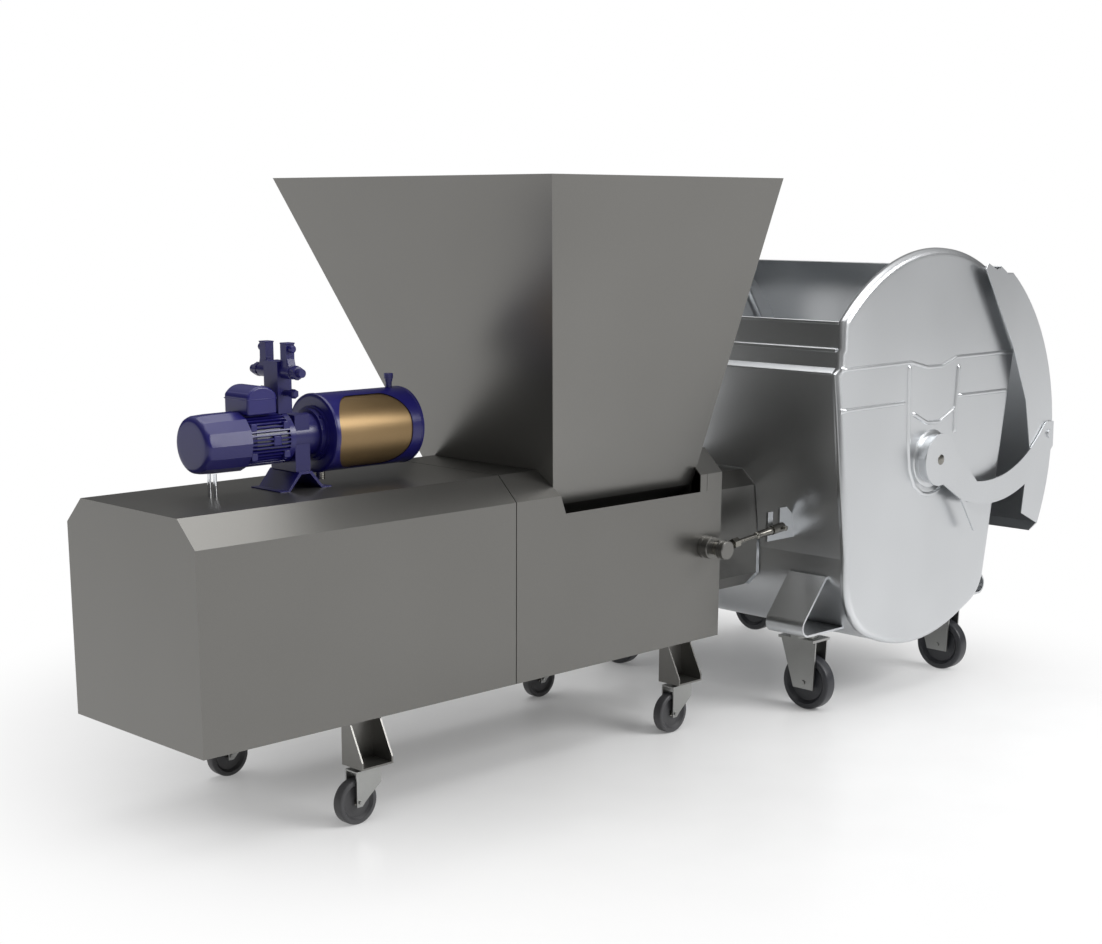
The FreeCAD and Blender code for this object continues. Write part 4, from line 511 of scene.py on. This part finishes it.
ARC_RADIUS, ARC_REAR_DEG, ARC_FRONT = 0.675, 66, (-0.492, 0.4622)
arc = [(cx + ARC_RADIUS * math.cos(t), cz + ARC_RADIUS * math.sin(t))
       for t in np.linspace(math.radians(ARC_REAR_DEG), math.atan2(ARC_FRONT[1], ARC_FRONT[0]), 60)]
panel_corners = arc + [(cx + x, z) for x, z in (
    (ARC_FRONT[0], 1.172), (-0.502, 1.160), (-0.499, 1.112), (-0.520, 1.094), (-0.430, 0.504),
    (-0.426, 0.285), (-0.012, 0.130), (0.361, 0.291), (0.484, 1.118))]
panel_radii = [0] * len(arc) + [0, 0, 0, 0, 0, 0.230, 0.600, 0.130, 0]
panel_outline = rounded(panel_corners, panel_radii)


def edge_distance(x, z):
    """Distance from points to the panel's outline."""
    a, b = panel_outline, np.roll(panel_outline, -1, axis=0)
    best = np.full(x.shape, 9.0)
    for (ax, az), (bx, bz) in zip(a, b):
        length = max((bx - ax) ** 2 + (bz - az) ** 2, 1e-12)
        t = np.clip(((x - ax) * (bx - ax) + (z - az) * (bz - az)) / length, 0, 1)
        best = np.minimum(best, np.hypot(x - ax - t * (bx - ax), z - az - t * (bz - az)))
    return best


def panel_piece(side, word):
    """The panel as rings drawn in from its outline, so the rolled edge stays smooth."""
    shares = np.concatenate([1 - np.linspace(0, 1, 14) ** 1.6 * 0.10, np.linspace(0.88, 0.05, 12)])
    centre = np.array([cx, cz - 0.05])
    ring = centre + shares[:, None, None] * (panel_outline[None] - centre)
    x, z = ring[..., 0], ring[..., 1]
    d = edge_distance(x, z)
    fall = ROLL - np.sqrt(np.maximum(ROLL ** 2 - np.maximum(ROLL - d, 0) ** 2, 0))
    y = side * (PY - fall)
    y[0] = side * (PY - EDGE_DEPTH)
    points = np.stack([x, y, z], axis=-1).reshape(-1, 3)
    count = len(panel_outline)
    faces = grid_faces(len(shares), count, True)
    faces = [tuple(f) for f in (faces if side > 0 else faces[:, ::-1])]
    middle_ring = tuple((len(shares) - 1) * count + np.arange(count))
    faces.append(middle_ring if side > 0 else middle_ring[::-1])
    piece = mesh_piece("end_panel_pressed_" + word, points, faces, "galvanised", ROOT, 50)
    wall = piece.modifiers.new("sheet", "SOLIDIFY")
    wall.thickness = SHEET
    wall.offset = -1
    return piece


panel_near, panel_far = panel_piece(-1, "near"), panel_piece(1, "far")
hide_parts("container_end_panels")
print("panel outline points", len(panel_outline))

# %% [markdown]
# The beads are low ribs. Their section is a raised cosine, so they rise out of the
# sheet without an edge, as pressed beads do.


# %% Pressed beads
BEAD_STEP, BEAD_FADE, BEAD_FLAT = 0.006, 0.012, 0.72
BEAD_SINK, BEAD_BACK = 0.0004, 0.002


def bead(name, path, side, width=0.022, height=0.009):
    """A rib along a path on the panel: its section is a raised cosine, cut flat on top."""
    line = np.array(path, float)
    steps = np.concatenate([[0], np.cumsum(np.linalg.norm(np.diff(line, axis=0), axis=1))])
    s = np.linspace(0, steps[-1], max(int(steps[-1] / BEAD_STEP), 12))
    x, z = np.interp(s, steps, line[:, 0]), np.interp(s, steps, line[:, 1])
    tx, tz = np.gradient(x), np.gradient(z)
    length = np.hypot(tx, tz)
    across = np.linspace(-0.5, 0.5, 11)
    fade = np.clip(np.minimum(s, steps[-1] - s) / BEAD_FADE, 0, 1)
    rise = height * np.minimum((1 + np.cos(2 * np.pi * across)) * BEAD_FLAT, 1)
    px = x[:, None] - (tz / length)[:, None] * across * width
    pz = z[:, None] + (tx / length)[:, None] * across * width
    py = side * (PY - BEAD_SINK + fade[:, None] * rise[None, :])
    back_x, back_z = px[:, [-1, 0]], pz[:, [-1, 0]]
    back_y = np.full_like(back_x, side * (PY - BEAD_BACK))
    points = np.stack([np.hstack([px, back_x]), np.hstack([py, back_y]),
                       np.hstack([pz, back_z])], axis=-1)
    count = len(across) + 2
    faces = grid_faces(len(s), count, True)
    first, last = np.arange(count), (len(s) - 1) * count + np.arange(count)
    ends = [tuple(first), tuple(last[::-1])]
    if side > 0:
        faces, ends = faces[:, ::-1], [end[::-1] for end in ends]
    return mesh_piece(name, points.reshape(-1, 3), [tuple(f) for f in faces] + ends,
                      "galvanised", ROOT, 80)


def hub_line(*points):
    """Points given in millimetres from the trunnions."""
    return [(cx + a * MM, cz + b * MM) for a, b in points]


BEADS = {
    "upper": hub_line((-503, 317), (-140, 321), (-45, 300), (36, 299), (123, 324), (477, 324)),
    "lower_front": hub_line((-498, 191), (-155, 194)),
    "lower_rear": hub_line((143, 196), (447, 194)),
    "pocket": hub_line((-146, 317), (-130, 60), (-115, -26), (-84, -83), (-40, -112), (-6, -119),
                       (30, -117), (75, -100)),
    "pocket_rear": hub_line((139, 304), (133, 162), (135, 68)),
    "shield": hub_line((-119, 158), (-35, 121), (40, 118), (133, 158)),
}
for side, word in SIDES:
    for bead_name, path in BEADS.items():
        bead("bead_%s_%s" % (bead_name, word), path, side)
print("beads", 2 * len(BEADS))

# %% [markdown]
# The rims of the trough are folded flat and show as bright lines. Each is a slim
# bar along the edge.

# %% Front rims and ledges of the trough
RIM_END = 0.519
RIMS = (("rim_top", -0.494, -0.482, 1.244, 1.253), ("rim_step", -0.506, -0.488, 1.160, 1.171),
        ("rim_ledge", -0.522, -0.506, 1.092, 1.099))
for rim_name, x0, x1, z0, z1 in RIMS:
    plate(rim_name, "y", (-RIM_END, RIM_END),
          [(z0, cx + x0), (z1, cx + x0), (z1, cx + x1), (z0, cx + x1)], "galvanised", ROOT, 1.5)
print("rims", len(RIMS))

# %% [markdown]
# Trunnion: a turned boss with a chamfer stands on each panel, and a washer and
# bolt head hold the lid arm on it.

# %% Trunnion caps
end = hub_half[1]
TRUNNION_BOLT = [(end - 0.002, 0.018), (end + 0.001, 0.017), (end + 0.0035, 0.010)]
TRUNNION_RING = [(PY, 0.098), (PY + 0.006, 0.094), (PY + 0.010, 0.083)]
for side, word in SIDES:
    turned("trunnion_bolt_" + word, "y", (cx, 0, cz), facing(side, TRUNNION_BOLT),
           "bright_steel", ROOT, 32)
    turned("trunnion_ring_" + word, "y", (cx, 0, cz), facing(side, TRUNNION_RING),
           "galvanised", ROOT, 72)
print("trunnions at x and z mm", round(cx * 1000, 1), round(cz * 1000, 1))

# %% [markdown]
# The tie rods hang on turned bosses: a grooved flange on the press, then a round
# cap. Along the rod come a hexagon, a taper, and a slim collar before the cross pin.
# The rod leans, so its pieces are turned about its own direction.

# %% Tie rods
boss_middle, _ = place_of("tie_rod_bosses")
bx, bz = boss_middle[0], boss_middle[2]
ROD_WAY = np.array([304, 0, 31], float)
ROD_OUT, CROSS_PIN = 0.3495, 0.3056
BOSS_FLANGE = [(0.2926, 0.0335), (0.2935, 0.0352), (0.304, 0.0352), (0.305, 0.0325), (0.309, 0.0325),
               (0.310, 0.0352), (0.3275, 0.0352), (0.3292, 0.0335)]
BOSS_CAP = [(0.3602, 0.0265), (0.3612, 0.0295), (0.3700, 0.0295), (0.3705, 0.0283), (0.3725, 0.0283),
            (0.3730, 0.0295), (0.3850, 0.0295), (0.3875, 0.0268)]
ROD_HEXAGON = [(0.020, 0.014), (0.0215, 0.0165), (0.038, 0.0165), (0.0395, 0.014)]
ROD_TAPER = [(0.0395, 0.0125), (0.048, 0.0125), (0.060, 0.0088)]
ROD_SLEEVE = [(0.1820, 0.0088), (0.186, 0.0118), (0.236, 0.0118), (0.242, 0.0135), (0.254, 0.0135),
              (0.2585, 0.0088)]
PIN_HEAD = [(0.0195, 0.0045), (0.0200, 0.0082), (0.0245, 0.0082), (0.0255, 0.0060)]
for side, word in SIDES:
    for piece_name, rows in (("boss_flange_", BOSS_FLANGE), ("boss_cap_", BOSS_CAP)):
        turned(piece_name + word, "y", (bx, 0, bz), facing(side, rows), "press_steel", ROOT, 64)
    at = (bx, side * ROD_OUT, bz)
    swing = "tie_rod_%s_swing" % word
    for piece_name, rows, sides in (("rod_hexagon_", ROD_HEXAGON, 6), ("rod_taper_", ROD_TAPER, 32),
                                    ("rod_sleeve_", ROD_SLEEVE, 32)):
        turned(piece_name + word, ROD_WAY, at, rows, "bright_steel", swing, sides)
    pin_at = np.array(at) + ROD_WAY / np.linalg.norm(ROD_WAY) * CROSS_PIN
    turned("cross_pin_head_" + word, "y", pin_at, facing(side, PIN_HEAD), "bright_steel", swing, 24)
print("tie rods from x mm", round(bx * 1000, 1))

# %% [markdown]
# The floor is pale and a little glossy, so that it takes
# soft shadows and a faint reflection. Away from the object it turns into an even
# white, so it has no visible edge against the backdrop.

# %% Studio
FLOOR, FADE_NEAR, FADE_FAR, FADE_LEAST = 30, 0.9, 2.3, 0.12
floor_mesh = bpy.data.meshes.new("floor")
floor_mesh.from_pydata([(-FLOOR, -FLOOR, 0), (FLOOR, -FLOOR, 0), (FLOOR, FLOOR, 0), (-FLOOR, FLOOR, 0)],
                       [], [(0, 1, 2, 3)])
floor = bpy.data.objects.new("floor", floor_mesh)
bpy.context.scene.collection.objects.link(floor)
floor_paint = finish_of("white_studio_floor", "f4f4f4", "f8f8f8", 0.0, 0.25, 900, bump_mm=0.0,
                        rough_swing=0.02)
floor_tree = floor_paint.node_tree
spot = add_node(floor_tree, "ShaderNodeTexCoord").outputs["Object"]
away = add_node(floor_tree, "ShaderNodeVectorMath", {0: spot}, operation="LENGTH").outputs["Value"]
fade = add_node(floor_tree, "ShaderNodeMapRange", {
    "Value": away, "From Min": FADE_NEAR, "From Max": FADE_FAR, "To Min": FADE_LEAST},
    interpolation_type="SMOOTHSTEP").outputs[0]
glow = add_node(floor_tree, "ShaderNodeEmission", {"Color": (1, 1, 1, 1), "Strength": 1.0}).outputs[0]
painted_floor = floor_tree.nodes["Principled BSDF"].outputs[0]
even = add_node(floor_tree, "ShaderNodeMixShader", {0: fade, 1: painted_floor, 2: glow}).outputs[0]
floor_tree.links.new(even, floor_tree.nodes["Material Output"].inputs["Surface"])
floor_mesh.materials.append(floor_paint)
print("floor fades from m", FADE_NEAR, "to", FADE_FAR)

# %% [markdown]
# The surroundings are white where the camera sees them. What lights the object and
# mirrors in its metal is a grey ramp instead: dark at eye height, bright overhead,
# as in a studio with dark walls under a large soft box.

# %% Surroundings
SKY_STRENGTH = 0.85
world = bpy.data.worlds.new("studio")
bpy.context.scene.world = world
world.use_nodes = True
sky = world.node_tree
surround = sky.nodes["Background"]
backdrop = add_node(sky, "ShaderNodeBackground", {"Color": (1, 1, 1, 1), "Strength": 1.0})
up = add_node(sky, "ShaderNodeTexCoord").outputs["Generated"]
height_of = add_node(sky, "ShaderNodeSeparateXYZ", {"Vector": up}).outputs["Z"]
ramp = add_node(sky, "ShaderNodeValToRGB", {"Fac": height_of})
# Each stop is the sine of the height above the horizon, and the grey there.
STOPS = ((0.0, 0.12), (0.14, 0.07), (0.5, 0.34), (0.85, 0.9))
for place, _ in STOPS[1:3]:
    ramp.color_ramp.elements.new(place)
ramp.color_ramp.elements[3].position = STOPS[3][0]
for step, (_, grey) in zip(ramp.color_ramp.elements, STOPS):
    step.color = (grey, grey, grey, 1)
sky.links.new(ramp.outputs["Color"], surround.inputs["Color"])
surround.inputs["Strength"].default_value = SKY_STRENGTH
seen = add_node(sky, "ShaderNodeLightPath").outputs["Is Camera Ray"]
either = add_node(sky, "ShaderNodeMixShader", {
    0: seen, 1: surround.outputs[0], 2: backdrop.outputs[0]})
sky.links.new(either.outputs[0], sky.nodes["World Output"].inputs["Surface"])
bpy.context.scene.view_settings.view_transform = "Standard"
print("sky stops", len(STOPS))

# %% [markdown]
# Two area lights: one high on the near side that reaches the container, and a wide
# one overhead that rounds off the edges.


# %% Lights
def soft_light(name, place, target, size, watts):
    """An area light that faces a target."""
    lamp = bpy.data.lights.new(name, "AREA")
    lamp.shape = "RECTANGLE"
    lamp.size, lamp.size_y = size
    lamp.energy = watts
    holder = bpy.data.objects.new(name, lamp)
    bpy.context.scene.collection.objects.link(holder)
    holder.location = place
    way = np.array(target, float) - np.array(place, float)
    yaw, pitch = math.atan2(way[1], way[0]), math.atan2(way[2], math.hypot(way[0], way[1]))
    holder.rotation_euler = (math.pi / 2 + pitch, 0, yaw - math.pi / 2)
    return holder


soft_light("key_over_container", (2.0, -4.0, 3.2), (0.8, 0, 0.7), (3.0, 2.0), 160)
soft_light("top", (0, 0, 5.0), (0, 0, 0), (5.0, 4.0), 120)
print("lights", len(bpy.data.lights))

# %% [markdown]
# The camera stands to the left of the press, looking along it and slightly down.
# Its place is given from the rear end plate, and the lens is shifted up a little.

# %% Camera
LENS_MM, SHIFT_X, SHIFT_Y = 59.24, 0.0246, 0.15
CAMERA_BACK, CAMERA_Y, CAMERA_Z = 2.3894, -3.8820, 1.5919
YAW, PITCH, ROLL_OVER = 0.8016, -0.2330, -0.0021
eye = bpy.data.cameras.new("camera")
eye.sensor_width = 36
eye.lens = LENS_MM
eye.shift_x = SHIFT_X
eye.shift_y = SHIFT_Y
camera = bpy.data.objects.new("camera", eye)
bpy.context.scene.collection.objects.link(camera)
camera.location = (cad_box[0][0] - CAMERA_BACK, CAMERA_Y, CAMERA_Z)
camera.rotation_mode = "XYZ"
camera.rotation_euler = (math.pi / 2 + PITCH, ROLL_OVER, YAW - math.pi / 2)
bpy.context.scene.camera = camera
print("camera", [round(c, 3) for c in camera.location])
